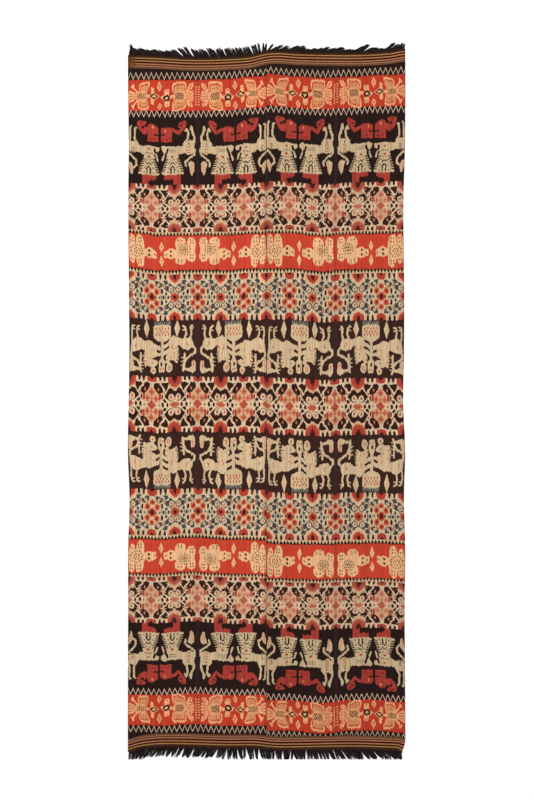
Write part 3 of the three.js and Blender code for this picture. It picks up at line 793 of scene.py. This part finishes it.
# True where a shape covers the grid of places x (columns) and y (rows).
def covers(form, data, x, y):
    if form == "oval":
        mx, my, rx, ry = data
        return ((x - mx) / rx) ** 2 + ((y - my) / ry) ** 2 < 1
    if form == "lozenge":
        mx, my, rx, ry = data
        return np.abs(x - mx) / rx + np.abs(y - my) / ry < 1
    inside = np.zeros((y.shape[0], x.shape[1]), bool)
    if form == "line":
        width, points = data
        for (ax, ay), (bx, by) in zip(points, points[1:]):
            dx, dy = bx - ax, by - ay
            share = np.clip(((x - ax) * dx + (y - ay) * dy) / (dx**2 + dy**2), 0, 1)
            inside |= (x - ax - share * dx) ** 2 + (y - ay - share * dy) ** 2 < width**2 / 4
        return inside
    points = np.array(data, float) if form == "block" else softened(data)
    for (ax, ay), (bx, by) in zip(points, np.roll(points, -1, 0)):
        if ay != by:
            crossing = ax + (y - ay) * (bx - ax) / (by - ay)
            inside ^= ((ay <= y) != (by <= y)) & (x < crossing)
    return inside


# Where each ink starts and stops along every row of a chart, as shares of its width.
def inkEdges(shapes, inks, width, ys):
    columns = int(width * samplesPerUnit)
    x = ((np.arange(columns) + 0.5) * width / columns)[None, :]
    y = np.asarray(ys, float)[:, None]
    chart = np.zeros((len(ys), columns), np.int8)
    for ink, form, *data in shapes:
        data = data[0] if len(data) == 1 else data
        chart[covers(form, data, x, y)] = inks.index(ink) + 1 if ink in inks else 0
    edges = {}
    for number, ink in enumerate(inks, 1):
        flips = np.diff((chart == number).astype(np.int8), axis=1, prepend=0) != 0
        most = int(flips.sum(1).max())
        table = np.ones((max(3, -(-most // 3) * 3), chartRows))
        for row in range(chartRows):
            starts = np.nonzero(flips[row])[0] / columns
            table[: len(starts), row] = starts
        edges[ink] = table
    return edges


# 1 where an ink lies: the edges passed along the row are counted, and an odd count is inside.
def inkMask(finish, acrossPlusOne, row, table):
    count = None
    for first in range(0, len(table), 3):
        edges = finish.node("ShaderNodeVectorCurve", {"curves": table[first:first + 3]}, {"Vector": row})
        passed = finish.vector("FLOOR", finish.vector("SUBTRACT", acrossPlusOne, edges))
        passed = finish.vector("DOT_PRODUCT", passed, (1, 1, 1), out=1)
        count = passed if count is None else count + passed
    return finish.math("PINGPONG", count, 1)


def snappedRow(finish, share):
    last = chartRows - 1
    return finish.threefold(finish.math("ROUND", share * last) * (2 / last) - 1)


def between(value, low, high):
    return (value > low) * (value < high)


# Finish of the two panels
ikat = {
    "threadsPerUnit": 3.4,
    "stepsPerUnit": 2,  # threads tied together take one colour
    "bundlesPerUnit": 1.1,
    "threadShift": 0.75,  # how far tied threads slip along the warp, in units
    "bundleShift": 0.95,  # and the bundles that they belong to
    "wander": 1.3,  # slow drift of the figures
    "wanderAlong": 1.4,  # how much more they drift along the warp
    "wanderGrain": (0.05, 0.05),
    "outerFrom": 150,  # the dark chart is in its outer band from here
    "outerUntil": 230,
    "threadTone": 0.3,
    "bundleTone": 0.2,
    "streakTone": 0.36,
    "streakGrain": (0.9, 0.02),
    "fadeTone": 0.16,
    "fadeGrain": (0.035, 0.02),
    "fleckGrain": (0.7, 0.3),
    "flecks": ((1.1, 0.92, 0.9, 1), (0.9, 1.06, 1.02, 1)),  # the dyes are redder here, greener there
    "murk": ((0.012, 0.002, 0.006, 1), (0.0, 0.003, 0.001, 1)),  # what the dark dye shows besides
    "rightPanel": 0.085,  # how much darker the right panel is
    "foldWidth": 1.5,  # painted shade of the fold: a darker streak down each panel's middle
    "foldShadeTone": 0.2,
    "foldShadeColor": dye(64, 56, 66),
    "dipsPerUnit": 1.1,
    "relief": 0.0005,
    "reliefStrength": 0.5,
    "roughness": 0.88,
    "roughnessSpread": 0.12,
}


def ikatFinish():
    f = Finish("ikatPanel")
    place, across, along = f.weave()
    thread = f.math("FLOOR", across * ikat["threadsPerUnit"])
    step = f.math("FLOOR", across * ikat["stepsPerUnit"])
    stepLot = f.lot(step)
    bundleLot = f.lot(f.math("FLOOR", across * ikat["bundlesPerUnit"] + 0.3) + 0.5)
    driftAcross, driftAlong = f.split(f.noise(place, ikat["wanderGrain"], 3.0, out=1))
    slip = (stepLot - 0.5) * ikat["threadShift"] + (bundleLot - 0.5) * ikat["bundleShift"]
    tied = (step + 0.5) / ikat["stepsPerUnit"]
    sway = (driftAcross - 0.5) * ikat["wander"]
    x, loose = tied + sway, across + sway
    drifted = along + (driftAlong - 0.5) * ikat["wander"] * ikat["wanderAlong"]
    t = f.math("ABSOLUTE", drifted + slip)
    evenT = f.math("ABSOLUTE", drifted + slip * 0.5)  # the zigzags are tied with more care

    # folds: the right panel mirrors the left one, and each panel mirrors about its own middle
    half = f.math("PINGPONG", f.math("PINGPONG", x, panelHalf * 2), panelHalf)
    halfPlusOne = f.threefold(half / panelHalf + 1)

    color = creatures["ground"]
    for band in (beasts, creatures, birds, crawlers):
        span = band["stop"] - band["start"]
        rows = band["start"] + span * np.arange(chartRows) / (chartRows - 1)
        ys = band["towards"] * (rows - band["zero"])
        edges = inkEdges(band["shapes"], list(band["inks"]), panelHalf, ys)
        row = snappedRow(f, (t - band["start"]) / span)
        shown = band["ground"]
        for ink, table in edges.items():
            shown = f.mix(inkMask(f, halfPlusOne, row, table), shown, band["inks"][ink])
        color = f.mix(between(t, band["start"], band["stop"]), color, shown)

    # lattice bands: two share the dark chart, one has the pale chart
    cell = 1 - f.math("PINGPONG", x, panelHalf / 3) / (panelHalf / 3)
    cellPlusOne = f.threefold(cell + 1)
    middle, outer, pale = (latticeBands[name] for name in ("middle", "outer", "pale"))

    def latticeColor(chart, share, tones):
        ys = chart["height"] * np.arange(chartRows) / (chartRows - 1)
        edges = inkEdges(chart["shapes"], chart["inks"], chart["width"], ys)
        row = snappedRow(f, share)
        shown = tones("cream")
        for ink in chart["inks"]:
            shown = f.mix(inkMask(f, cellPlusOne, row, edges[ink]), shown, tones(ink))
        return shown

    inOuter = t > ikat["outerFrom"]
    share = f.math("ABSOLUTE", t - inOuter * outer["at"])
    share = share / (middle["half"] + inOuter * (outer["half"] - middle["half"]))
    shown = latticeColor(lattice, share, lambda ink: f.mix(inOuter, middle[ink], outer[ink]))
    color = f.mix((share < 1) * (t < ikat["outerUntil"]), color, shown)
    share = f.math("ABSOLUTE", t - pale["at"]) / pale["half"]
    shown = latticeColor(paleLattice, share, lambda ink: pale[ink])
    color = f.mix(share < 1, color, shown)

    for zigzag in zigzags:
        at, height, tooth = zigzag["at"], zigzag["height"], zigzag["tooth"]
        wave = f.math("PINGPONG", loose, tooth / 2) * (2 * height / tooth) + at
        if "line" in zigzag:
            drawnHere = f.math("COMPARE", evenT, wave, zigzag["line"])
        elif zigzag["teeth"] < 0:
            drawnHere = (evenT > at) * (evenT < wave)
        else:
            drawnHere = (evenT > wave) * (evenT < at + height)
        color = f.mix(drawnHere, color, zigzag["color"])

    # dye taken unevenly: thread by thread, in streaks along the warp, and in broad patches
    threadLot = f.lot(thread + 0.25)
    streak = f.noise(place, ikat["streakGrain"])
    patch = f.noise(place, ikat["fadeGrain"])
    fleck = f.noise(place, ikat["fleckGrain"], 1.0)
    tone = 1 + (threadLot - 0.5) * ikat["threadTone"] + (bundleLot - 0.5) * ikat["bundleTone"]
    tone = tone + (streak - 0.5) * ikat["streakTone"] + (patch - 0.5) * ikat["fadeTone"]
    tone = tone - (across > panelHalf * 2) * ikat["rightPanel"]
    color = f.mix(1, color, f.mix(fleck, *ikat["flecks"]), "MULTIPLY")
    color = f.shade(color, tone)
    # the dark dye shows purple and brown from bundle to bundle
    color = f.mix(1, color, f.mix(bundleLot, *ikat["murk"]), "ADD")

    # painted shade of the fold: a bluish dark streak down each panel's middle
    foldShade = (half > panelHalf - ikat["foldWidth"]) * ikat["foldShadeTone"] * (streak + 0.5)
    color = f.mix(foldShade, color, ikat["foldShadeColor"])

    # warp-faced weave: round warp threads, each dipping under the weft by turns
    bead = f.math("SINE", across * (2 * math.pi * ikat["threadsPerUnit"]))
    dip = f.math("SINE", along * (2 * math.pi * ikat["dipsPerUnit"]) + thread * math.pi)
    roughness = ikat["roughness"] + (streak - 0.5) * ikat["roughnessSpread"]
    return f.close(color, roughness, bead * 0.6 + dip * 0.4, ikat["relief"], ikat["reliefStrength"])


# Where the middles of the four broad red bands lie along the warp, in units from the cloth's middle.
# Columns: place across in units from the left selvedge, upper red, upper orange, lower orange, lower red.
bandPlaces = {
    "left": [
        (0, 305, 152, -155, -307.5), (29, 305, 147.5, -156, -308.5), (65, 305, 148, -153.5, -307),
        (101, 305.5, 148, -156, -309), (119, 308, 149.5, -156, -309), (138, 308.5, 149.5, -156.5, -308),
    ],
    "right": [
        (139, 311, 150, -160, -313.5), (164, 308.5, 150.5, -161, -313.5), (195, 307, 146.5, -161.2, -317),
        (218, 308, 149, -160.5, -313.5), (245, 309.5, 149.5, -160, -313), (277, 310.5, 150, -161.5, -316),
    ],
}
bandMiddles = (307, 151.5, -151.5, -307)

# The two loom panels
panel = {
    "columns": 60,
    "rows": 280,
    "ripple": 0.7,  # height of the small unevenness, in millimetres
    "frill": 0.9,  # waviness of a selvedge
    "frillReach": 26,
    "pucker": 0.9,  # drawing up along the centre seam
    "puckerReach": 12,
    "beyond": 40,  # how far the pattern runs on past the outermost bands, in units
    "bakeMargin": 0.01,
}


def smallWaves(x, y):
    ripple = np.sin(x / 31 + 1.4 * np.sin(y / 150)) * np.sin(y / 97 + 1.2 * np.sin(x / 120))
    frill = np.exp((np.abs(x) - cloth["width"] / 2) / panel["frillReach"])
    pucker = np.exp(-np.abs(x) / panel["puckerReach"])
    return (
        panel["ripple"] * (1 + ripple) / 2
        + panel["frill"] * frill * (1 + np.sin(y / 24 + 2 * np.sin(y / 210))) / 2
        + panel["pucker"] * pucker * (1 + np.sin(y / 6.2 + np.sin(y / 71))) / 2
    )


def makePanel(side):
    inner, edge = cloth["pieceGap"] / 2, cloth["width"] / 2
    columns, rows = panel["columns"] + 1, panel["rows"] + 1
    across = np.linspace(*((-edge, -inner) if side == "left" else (inner, edge)), columns)
    lowest = ends["bottom"](across, -inner)[1]
    highest = ends["top"](across, -inner)[1]
    y = lowest + (highest - lowest) * np.linspace(0, 1, rows)[:, None]
    flatX = np.broadcast_to(across, y.shape)
    x = np.where(np.abs(flatX) <= inner, flatX, bowed(flatX, y))
    under = liftAt(x, y) + smallWaves(x, y)
    top = np.stack([x, y, under + cloth["panelThickness"]], -1)
    bottom = np.stack([x, y, under], -1)

    # the pattern's own places: units across, and units along from the pattern's middle line
    unitsAcross = (flatX + edge) / cloth["unit"]
    unitsAlong = np.zeros_like(y)
    places = np.array(bandPlaces[side], float)
    beyond = panel["beyond"]
    marks = [bandMiddles[3] - beyond, *bandMiddles[::-1], bandMiddles[0] + beyond]
    for column in range(columns):
        knots = [np.interp(unitsAcross[0, column], places[:, 0], places[:, k]) for k in (4, 3, 2, 1)]
        knots = [knots[0] - beyond, *knots, knots[-1] + beyond]
        unitsAlong[:, column] = np.interp(y[:, column] / cloth["unit"], knots, marks)
    weave = np.stack([unitsAcross, unitsAlong], -1)
    piece = closedSheet(side + "Panel", top, bottom, weave, panelFinish)

    # the baked picture: the upper half of the panel beside the lower half
    layer = piece.data.uv_layers.new(name="OFBake")
    halfWay, margin = panel["rows"] // 2, panel["bakeMargin"]
    corners = np.zeros(len(piece.data.loops), np.int32)
    piece.data.loops.foreach_get("vertex_index", corners)
    row, column = corners % y.size // columns, corners % columns
    upper = np.repeat(row.reshape(-1, 4).min(1), 4) >= halfWay
    u = np.linspace(margin, 0.5 - margin, columns)[column] + np.where(upper, 0, 0.5)
    v = margin + (1 - 2 * margin) * np.where(upper, row - halfWay, row) / halfWay
    layer.data.foreach_set("uv", np.stack([u, v], -1).astype(np.float32).ravel())
    return piece


panelFinish = ikatFinish()
print("ikat finish made:", len(panelFinish.node_tree.nodes), "nodes")
panels = {side: makePanel(side) for side in ("left", "right")}
for side, piece in panels.items():
    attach(piece, "root")
    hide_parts("panel_" + side)
print("panels made")

# End bands: cords of weft over a dark ground, counted outwards from the panel in millimetres.
endBand = {
    "columns": 260,
    "step": 0.5,
    "thickness": 1.2,
    "cords": [  # start, width, height, where the crest lies, and the colours of the crest's painted highlight and the sides' painted shade
        (0.3, 5.0, 0.7, 0.5, dye(138, 94, 62), dye(86, 50, 30)),
        (5.3, 6.4, 0.8, 0.6, dye(184, 132, 102), dye(90, 50, 28)),
        (14.2, 6.4, 1.1, 0.42, dye(212, 144, 102), dye(82, 34, 12)),
        (24.8, 6.4, 1.1, 0.56, dye(214, 150, 106), dye(82, 36, 14)),
        (35.3, 6.2, 1.1, 0.5, dye(210, 160, 90), dye(72, 40, 14)),
    ],
    "fall": 0.58,  # how quickly the painted shade darkens a cord from its lit crest
    "waver": 0.9,  # how far a cord strays
    "waverGrain": (0.12, 0.9),
    "dark": dye(50, 12, 2),
    "frayed": dye(150, 94, 40),
    "rolledEnd": -493,  # the upper band's left end is rolled, and its cords run together
    "rolled": 0.85,
    "rollWaver": 24,
    "tangleGrain": (0.3, 0.05),
    "beadsPerMm": (0.42, 0.19),
    "beadTone": 0.3,
    "streakTone": 0.3,
    "streakGrain": (0.02, 0.6),
    "slant": (2.6, 1.1),  # of the fine ridges across the cords
    "roughness": 0.85,
    "relief": 0.0006,
    "reliefStrength": 0.6,
    "wave": 0.21,  # how unevenly it lies on the floor
}


def bandFinish():
    f = Finish("stripedBand")
    place, across, out = f.weave()
    rough = f.noise(place, endBand["waverGrain"], 3.0)
    out = out + (rough - 0.5) * endBand["waver"]
    color = endBand["dark"]
    # each cord is painted lighter at its crest and darker down its sides: a painted highlight and painted
    # shade over its raised shape
    for start, width, height, peak, crestHighlight, sides in endBand["cords"]:
        share = (out - start) / width
        fromCrest = f.math("ABSOLUTE", share - peak) / max(peak, 1 - peak)
        tone = f.mix(f.math("POWER", fromCrest, endBand["fall"]), crestHighlight, sides)
        color = f.mix(between(share, 0, 1), color, tone)
    tangle = f.noise(place, endBand["tangleGrain"])
    frayed = f.mix((tangle - 0.4) * 4, endBand["dark"], endBand["frayed"])
    rolled = (across + (rough - 0.5) * endBand["rollWaver"]) < endBand["rolledEnd"]
    color = f.mix(rolled * endBand["rolled"], color, frayed)
    beadsAcross, beadsOut = endBand["beadsPerMm"]
    bead = f.lot(f.math("FLOOR", across * beadsAcross) + f.math("FLOOR", out * beadsOut) * 37)
    streak = f.noise(place, endBand["streakGrain"])
    tone = 1 + (bead - 0.5) * endBand["beadTone"] + (streak - 0.5) * endBand["streakTone"]
    slantAcross, slantOut = endBand["slant"]
    slant = f.math("SINE", across * slantAcross + out * slantOut)
    height = slant * 0.6 + (bead - 0.5) * 0.5
    roughness = endBand["roughness"] + (bead - 0.5) * 0.1
    color = f.shade(color, tone)
    return f.close(color, roughness, height, endBand["relief"], endBand["reliefStrength"])


stripeFinish = bandFinish()


def makeBand(end):
    inner = cloth["pieceGap"] / 2
    outer = cloth["bandWidth"] - inner
    distance = np.arange(inner, outer + 0.01, endBand["step"])
    distance[-1] = outer
    rise = np.zeros(len(distance))
    # the last two columns, the painted highlight and painted shade colours, play no part in the shape
    for start, width, height, *crestHighlightAndSideShade in endBand["cords"]:
        place = (distance - start) / width
        on = (place > 0) & (place < 1)
        crown = np.sqrt(np.clip(1 - (2 * place - 1) ** 2, 0, None))
        ridge = np.abs(np.sin(np.pi * place)) ** 0.5
        rise = np.where(on, height * (0.55 * crown + 0.45 * ridge), rise)
    if end == "bottom":
        distance, rise = distance[::-1], rise[::-1]
    distance = distance[:, None]
    edge = cloth["width"] / 2
    across = np.linspace(-edge, edge, endBand["columns"] + 1)
    flatX = np.broadcast_to(across, (len(distance), len(across)))
    x, y = ends[end](flatX, distance)
    wave = endBand["wave"] * (1 + np.sin(across / 27 + np.sin(across / 140)))
    under = np.broadcast_to(wave, x.shape)
    top = np.stack([x, y, under + endBand["thickness"] + rise[:, None]], -1)
    bottom = np.stack([x, y, under], -1)
    along = flatX + (0 if end == "top" else 2000)  # the lower band has other wear
    weave = np.stack([along, np.broadcast_to(distance, flatX.shape)], -1)
    return closedSheet(end + "Band", top, bottom, weave, stripeFinish)


bands = {end: makeBand(end) for end in ends}
print("end bands made")

# Fringe: a dark heading and tufts of loose warp ends
fringe = {
    "tufts": 104,
    "yarns": 8,
    "yarnRadius": 1.3,
    "sides": 5,
    "steps": 7,
    "margin": 5,
    "yarnMargin": 1.5,
    "rootDepth": 1.6,
    "rootSpread": 10.6,  # width of a tuft at its root
    "tipSpread": 4.6,  # and at its tip, where it stands upright
    "matting": 11,  # how much wider its tip is where it lies down
    "straying": {"top": 7, "bottom": 8},  # how far the lean of a tuft strays, in degrees
    "clump": (24, 60),  # tufts cling together in clumps as wide as this
    "cling": {"top": 0.05, "bottom": 0.18},
    "bend": 10,
    "steepest": 78,  # the furthest that a yarn leans
    "length": 2690,
    "seeds": {"top": 11, "bottom": 29},
    # how far single tufts and yarns stray from the tables below
    "rootStray": 1.2,
    "lengthStray": (-4, 3),
    "yarnStray": 0.6,
    "tipStray": 1.6,
    "bendStray": 3,
    "reachShare": (0.88, 1.05),
    # across each end: x, lean in degrees, length
    "topStrands": [
        (-520, 8, 31), (-508, 3, 35), (-494, -26, 42), (-474, -50, 46), (-437, -58, 46), (-381, -56, 46),
        (-325, -54, 46), (-302, -40, 48), (-250, -36, 41), (-193, -33, 38), (-118, -26, 37), (-43, -20, 36),
        (-28, -9, 38), (-14, -2, 37), (-2, 12, 33), (10, 48, 34), (24, 60, 42), (50, 70, 42), (80, 60, 47),
        (105, 64, 46), (135, 75, 42), (163, 73, 42), (200, 65, 46), (235, 67, 46), (270, 72, 44),
        (305, 74, 42), (322, 60, 46), (336, 48, 48), (352, 50, 44), (366, 62, 44), (390, 69, 42),
        (420, 67, 42), (440, 54, 48), (452, 42, 50), (466, 52, 40), (484, 44, 28), (506, 14, 24),
        (520, -4, 22),
    ],
    "bottomStrands": [
        (-520, -6, 44), (-437, -30, 44), (-306, -20, 42), (-190, -26, 43), (-115, 2, 46), (-50, 12, 44),
        (30, 2, 42), (150, 6, 42), (280, 30, 47), (380, 36, 48), (480, 30, 42), (520, 6, 34),
    ],
    # the heading's outline, outwards and up, and the faces that close its ends
    "headingRing": [
        (0.15, 0.1), (0.4, 1.2), (2.2, 1.9), (4, 1.5), (5.8, 1.9), (7.6, 1.2), (8, 0.1), (4, 0.0),
    ],
    "headingCaps": [(0, 1, 6, 7), (1, 2, 3, 6), (3, 4, 5, 6)],
    "headingSteps": 260,
    "headingFade": (8.5, 6),  # where its dye starts to turn dark, and over how far
    "tintGrain": (0.3, 0.05),
    "twist": 2.4,
    "roughness": 0.85,
    "relief": 0.0004,
    "reliefStrength": 0.5,
    "dark": dye(24, 17, 16),
    "worn": dye(54, 46, 43),
    "heading": dye(68, 38, 27),
}


def fringeFinish():
    f = Finish("fringeYarn")
    place, turn, out = f.weave()
    tint = f.noise(place, fringe["tintGrain"])
    color = f.mix((tint - 0.4) * 2.4, fringe["dark"], fringe["worn"])
    start, reach = fringe["headingFade"]
    fade = f.math("MINIMUM", f.math("MAXIMUM", (out - start) / reach, 0), 1)
    color = f.mix(fade, fringe["heading"], color)
    twist = f.math("SINE", turn * 6.28 + out * fringe["twist"])
    roughness = fringe["roughness"] + (tint - 0.5) * 0.2
    return f.close(color, roughness, twist, fringe["relief"], fringe["reliefStrength"])


yarnFinish = fringeFinish()


def makeFringe(end):
    rng = random.Random(fringe["seeds"][end])
    at = ends[end]
    outwards = 1 if end == "top" else -1
    lean, length = (curveOf(fringe[end + "Strands"], column) for column in (1, 2))
    edge = cloth["width"] / 2
    points, weave = [], []

    def stray(name):
        return rng.uniform(-fringe[name], fringe[name])

    # heading: a flattened cord along the band's edge
    ring = fringe["headingRing"]
    across = np.linspace(-edge, edge, fringe["headingSteps"] + 1)
    for x in across:
        for distance, height in ring:
            px, py = at(x, cloth["bandWidth"] + distance)
            points.append((float(px), float(py), height * (1 + 0.07 * math.sin(x * 2.1))))
            weave.append((x * 0.2, distance))
    faces = tubeFaces(0, len(across), len(ring), outwards > 0, capped=False)
    for first in (0, (len(across) - 1) * len(ring)):
        for cap in fringe["headingCaps"]:
            face = tuple(first + k for k in cap)
            faces.append(face if (first == 0) == (outwards > 0) else face[::-1])

    span = cloth["width"] - 2 * fringe["margin"]
    yarnEdge = edge - fringe["yarnMargin"]
    leanStray, steepest = fringe["straying"][end], math.radians(fringe["steepest"])
    rootAt = cloth["bandWidth"] + cloth["headingWidth"] - fringe["rootDepth"]
    clumps = [-edge]
    while clumps[-1] < edge:
        clumps.append(clumps[-1] + rng.uniform(*fringe["clump"]))
    clumps = (np.array(clumps[1:]) + clumps[:-1]) / 2
    for tuft in range(fringe["tufts"]):
        rootX = ((tuft + 0.5) / fringe["tufts"] - 0.5) * span + stray("rootStray")
        tuftLean = math.radians(float(lean(rootX)) + rng.uniform(-leanStray, leanStray))
        tuftLength = fringe["rootDepth"] + float(length(rootX)) + rng.uniform(*fringe["lengthStray"])
        tipSpread = fringe["tipSpread"] + fringe["matting"] * abs(math.sin(tuftLean))
        clump = clumps[np.argmin(np.abs(clumps - rootX))]
        pull = (clump - rootX) * fringe["cling"][end]
        tuftBend = rng.uniform(-1, 1) * fringe["bend"]
        for yarn in range(fringe["yarns"]):
            place = (yarn + 0.5) / fringe["yarns"] - 0.5
            startX = rootX + place * fringe["rootSpread"] + stray("yarnStray")
            startX = min(max(startX, -yarnEdge), yarnEdge)
            rx, ry = (float(part) for part in at(startX, rootAt))
            reach = tuftLength * rng.uniform(*fringe["reachShare"])
            aside = pull + place * (tipSpread - fringe["rootSpread"]) + stray("tipStray")
            angle = tuftLean + math.atan2(aside, reach)
            angle = min(max(angle, -steepest), steepest)
            # no yarn runs past the cloth's length or far past its sides
            room = fringe["length"] / 2 - abs(ry) - 1
            reach = min(reach, room / max(math.cos(angle), 0.3))
            beside = edge + 2 - rx * (1 if angle > 0 else -1)
            reach = min(reach, beside / max(abs(math.sin(angle)), 0.05))
            bend = math.radians(tuftBend + stray("bendStray"))
            rest = fringe["yarnRadius"] * (1.05 + 2.2 * rng.random())
            first = len(points)
            addYarn(points, weave, (rx, ry), angle, bend, reach, rest, outwards, rng)
            faces += tubeFaces(first, fringe["steps"] + 1, fringe["sides"], outwards > 0)
    return meshPiece(end + "Fringe", points, faces, weave, yarnFinish)


# The points of one tapered yarn lying on the floor, from its root in the heading to its tip
def addYarn(points, weave, root, angle, bend, reach, rest, outwards, rng):
    sides, steps = fringe["sides"], fringe["steps"]
    phase, sway = rng.uniform(0, 6.28), rng.uniform(0.2, 0.5)
    x, y = root
    for step in range(steps + 1):
        share = step / steps
        heading = angle + bend * (share - 0.5) * 2
        if step:
            x += math.sin(heading) * reach / steps
            y += outwards * math.cos(heading) * reach / steps
        side = (math.cos(heading), -outwards * math.sin(heading))
        offset = sway * math.sin(phase + share * 9)
        radius = fringe["yarnRadius"] * (1.0 if share < 0.75 else 1.0 - 2.2 * (share - 0.75))
        middle = radius + (rest - radius) * (1 - share) ** 1.5
        middle += 0.25 * (1 + math.sin(phase + share * 7)) * (1 - share)
        for k in range(sides):
            turn = 2 * math.pi * k / sides
            aside = offset + radius * math.cos(turn)
            z = max(middle + radius * math.sin(turn), 0.02)
            points.append((x + side[0] * aside, y + side[1] * aside, z))
            weave.append((phase * 3 + k / sides, 9 + share * reach))


fringes = {end: makeFringe(end) for end in ends}
for end in ends:
    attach(bands[end], "root")
    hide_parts("end_band_" + end)
    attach(fringes[end], "root")
    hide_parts("fringe_" + end)
print("fringes made")

# Whip stitches over the centre seam
seam = {
    "pitch": 7,
    "reach": 3.2,
    "radius": 0.45,
    "slant": 2.2,
    "sunk": 0.35,  # how deep a stitch's ends lie in the cloth
    "arch": 0.75,
    "fromEnd": 5,
    "points": 6,
    "sides": 5,
    "seed": 5,
    "stray": 0.8,
    "dark": dye(50, 34, 30),
    "worn": dye(92, 58, 44),
    "tintGrain": (0.4, 0.4),
    "twist": 3,
    "roughness": 0.8,
    "relief": 0.0003,
    "reliefStrength": 0.4,
}


def seamFinish():
    f = Finish("seamThread")
    place, turn, along = f.weave()
    tint = f.noise(place, seam["tintGrain"])
    color = f.mix(tint, seam["dark"], seam["worn"])
    twist = f.math("SINE", turn * 6.28 + along * seam["twist"])
    roughness = seam["roughness"] + (tint - 0.5) * 0.2
    return f.close(color, roughness, twist, seam["relief"], seam["reliefStrength"])


def makeSeam():
    points, faces, weave = [], [], []
    low, high = (float(ends[end](0, -seam["fromEnd"])[1]) for end in ("bottom", "top"))
    count = int((high - low) / seam["pitch"])
    sides, radius = seam["sides"], seam["radius"]
    rng = random.Random(seam["seed"])
    for stitch in range(count):
        middle = low + (stitch + 0.5) * (high - low) / count + rng.uniform(-seam["stray"], seam["stray"])
        faces += tubeFaces(len(points), seam["points"], sides, False)
        for step in range(seam["points"]):
            share = step / (seam["points"] - 1)
            x = (share * 2 - 1) * seam["reach"]
            y = middle + (share - 0.5) * 2 * seam["slant"]
            z = float(liftAt(x, y) + smallWaves(x, y)) + cloth["panelThickness"] - seam["sunk"]
            z += seam["arch"] * math.sin(math.pi * share) ** 0.6
            for k in range(sides):
                turn = 2 * math.pi * k / sides
                points.append((x, y + radius * math.cos(turn), z + radius * math.sin(turn)))
                weave.append((stitch * 1.7 + k / sides, share * 8))
    return meshPiece("seamStitches", points, faces, weave, seamFinish())


stitches = makeSeam()
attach(stitches, "root")
print("seam stitched")

# Floor, light and camera
studio = {
    "floor": dye(254, 254, 254),
    "floorHalf": 8,
    "floorHeight": -0.0003,
    "floorGlow": 0.14,  # keeps the paper white
    "skyStrength": 0.56,
    "lamps": [  # place, size and power
        ((-1.2, 2.4, 4.2), 4.0, 122),
        ((1.8, -0.6, 4.6), 4.5, 44),
    ],
    "cameraHeight": 8.0,
    "cameraPlace": (0.0015, 0.00375),
    "lens": 96,
}

floorMesh = bpy.data.meshes.new("floor")
far, height = studio["floorHalf"], studio["floorHeight"]
corners = [(-far, -far, height), (far, -far, height), (far, far, height), (-far, far, height)]
floorMesh.from_pydata(corners, [], [(0, 1, 2, 3)])
floor = bpy.data.objects.new("floor", floorMesh)
bpy.context.collection.objects.link(floor)
paper = Finish("paleFloor")
floorMesh.materials.append(paper.close(studio["floor"], 0.9, glow=studio["floorGlow"]))

world = bpy.data.worlds.new("softSky")
world.use_nodes = True
sky = world.node_tree.nodes["Background"].inputs
sky["Color"].default_value = (1, 1, 1, 1)
sky["Strength"].default_value = studio["skyStrength"]
scene = bpy.context.scene
scene.world = world
for number, (place, size, power) in enumerate(studio["lamps"]):
    lampData = bpy.data.lights.new("lamp" + str(number), "AREA")
    lampData.size, lampData.energy = size, power
    lamp = bpy.data.objects.new("lamp" + str(number), lampData)
    lamp.location = place
    lamp.rotation_euler = (math.atan2(place[1], place[2]) * -1, math.atan2(place[0], place[2]), 0)
    scene.collection.objects.link(lamp)

cameraData = bpy.data.cameras.new("camera")
cameraData.lens, cameraData.sensor_width = studio["lens"], 36
cameraData.clip_end = 100
camera = bpy.data.objects.new("camera", cameraData)
camera.location = (*studio["cameraPlace"], studio["cameraHeight"])
scene.collection.objects.link(camera)
scene.camera = camera
scene.view_settings.view_transform = "Standard"
print("studio set")
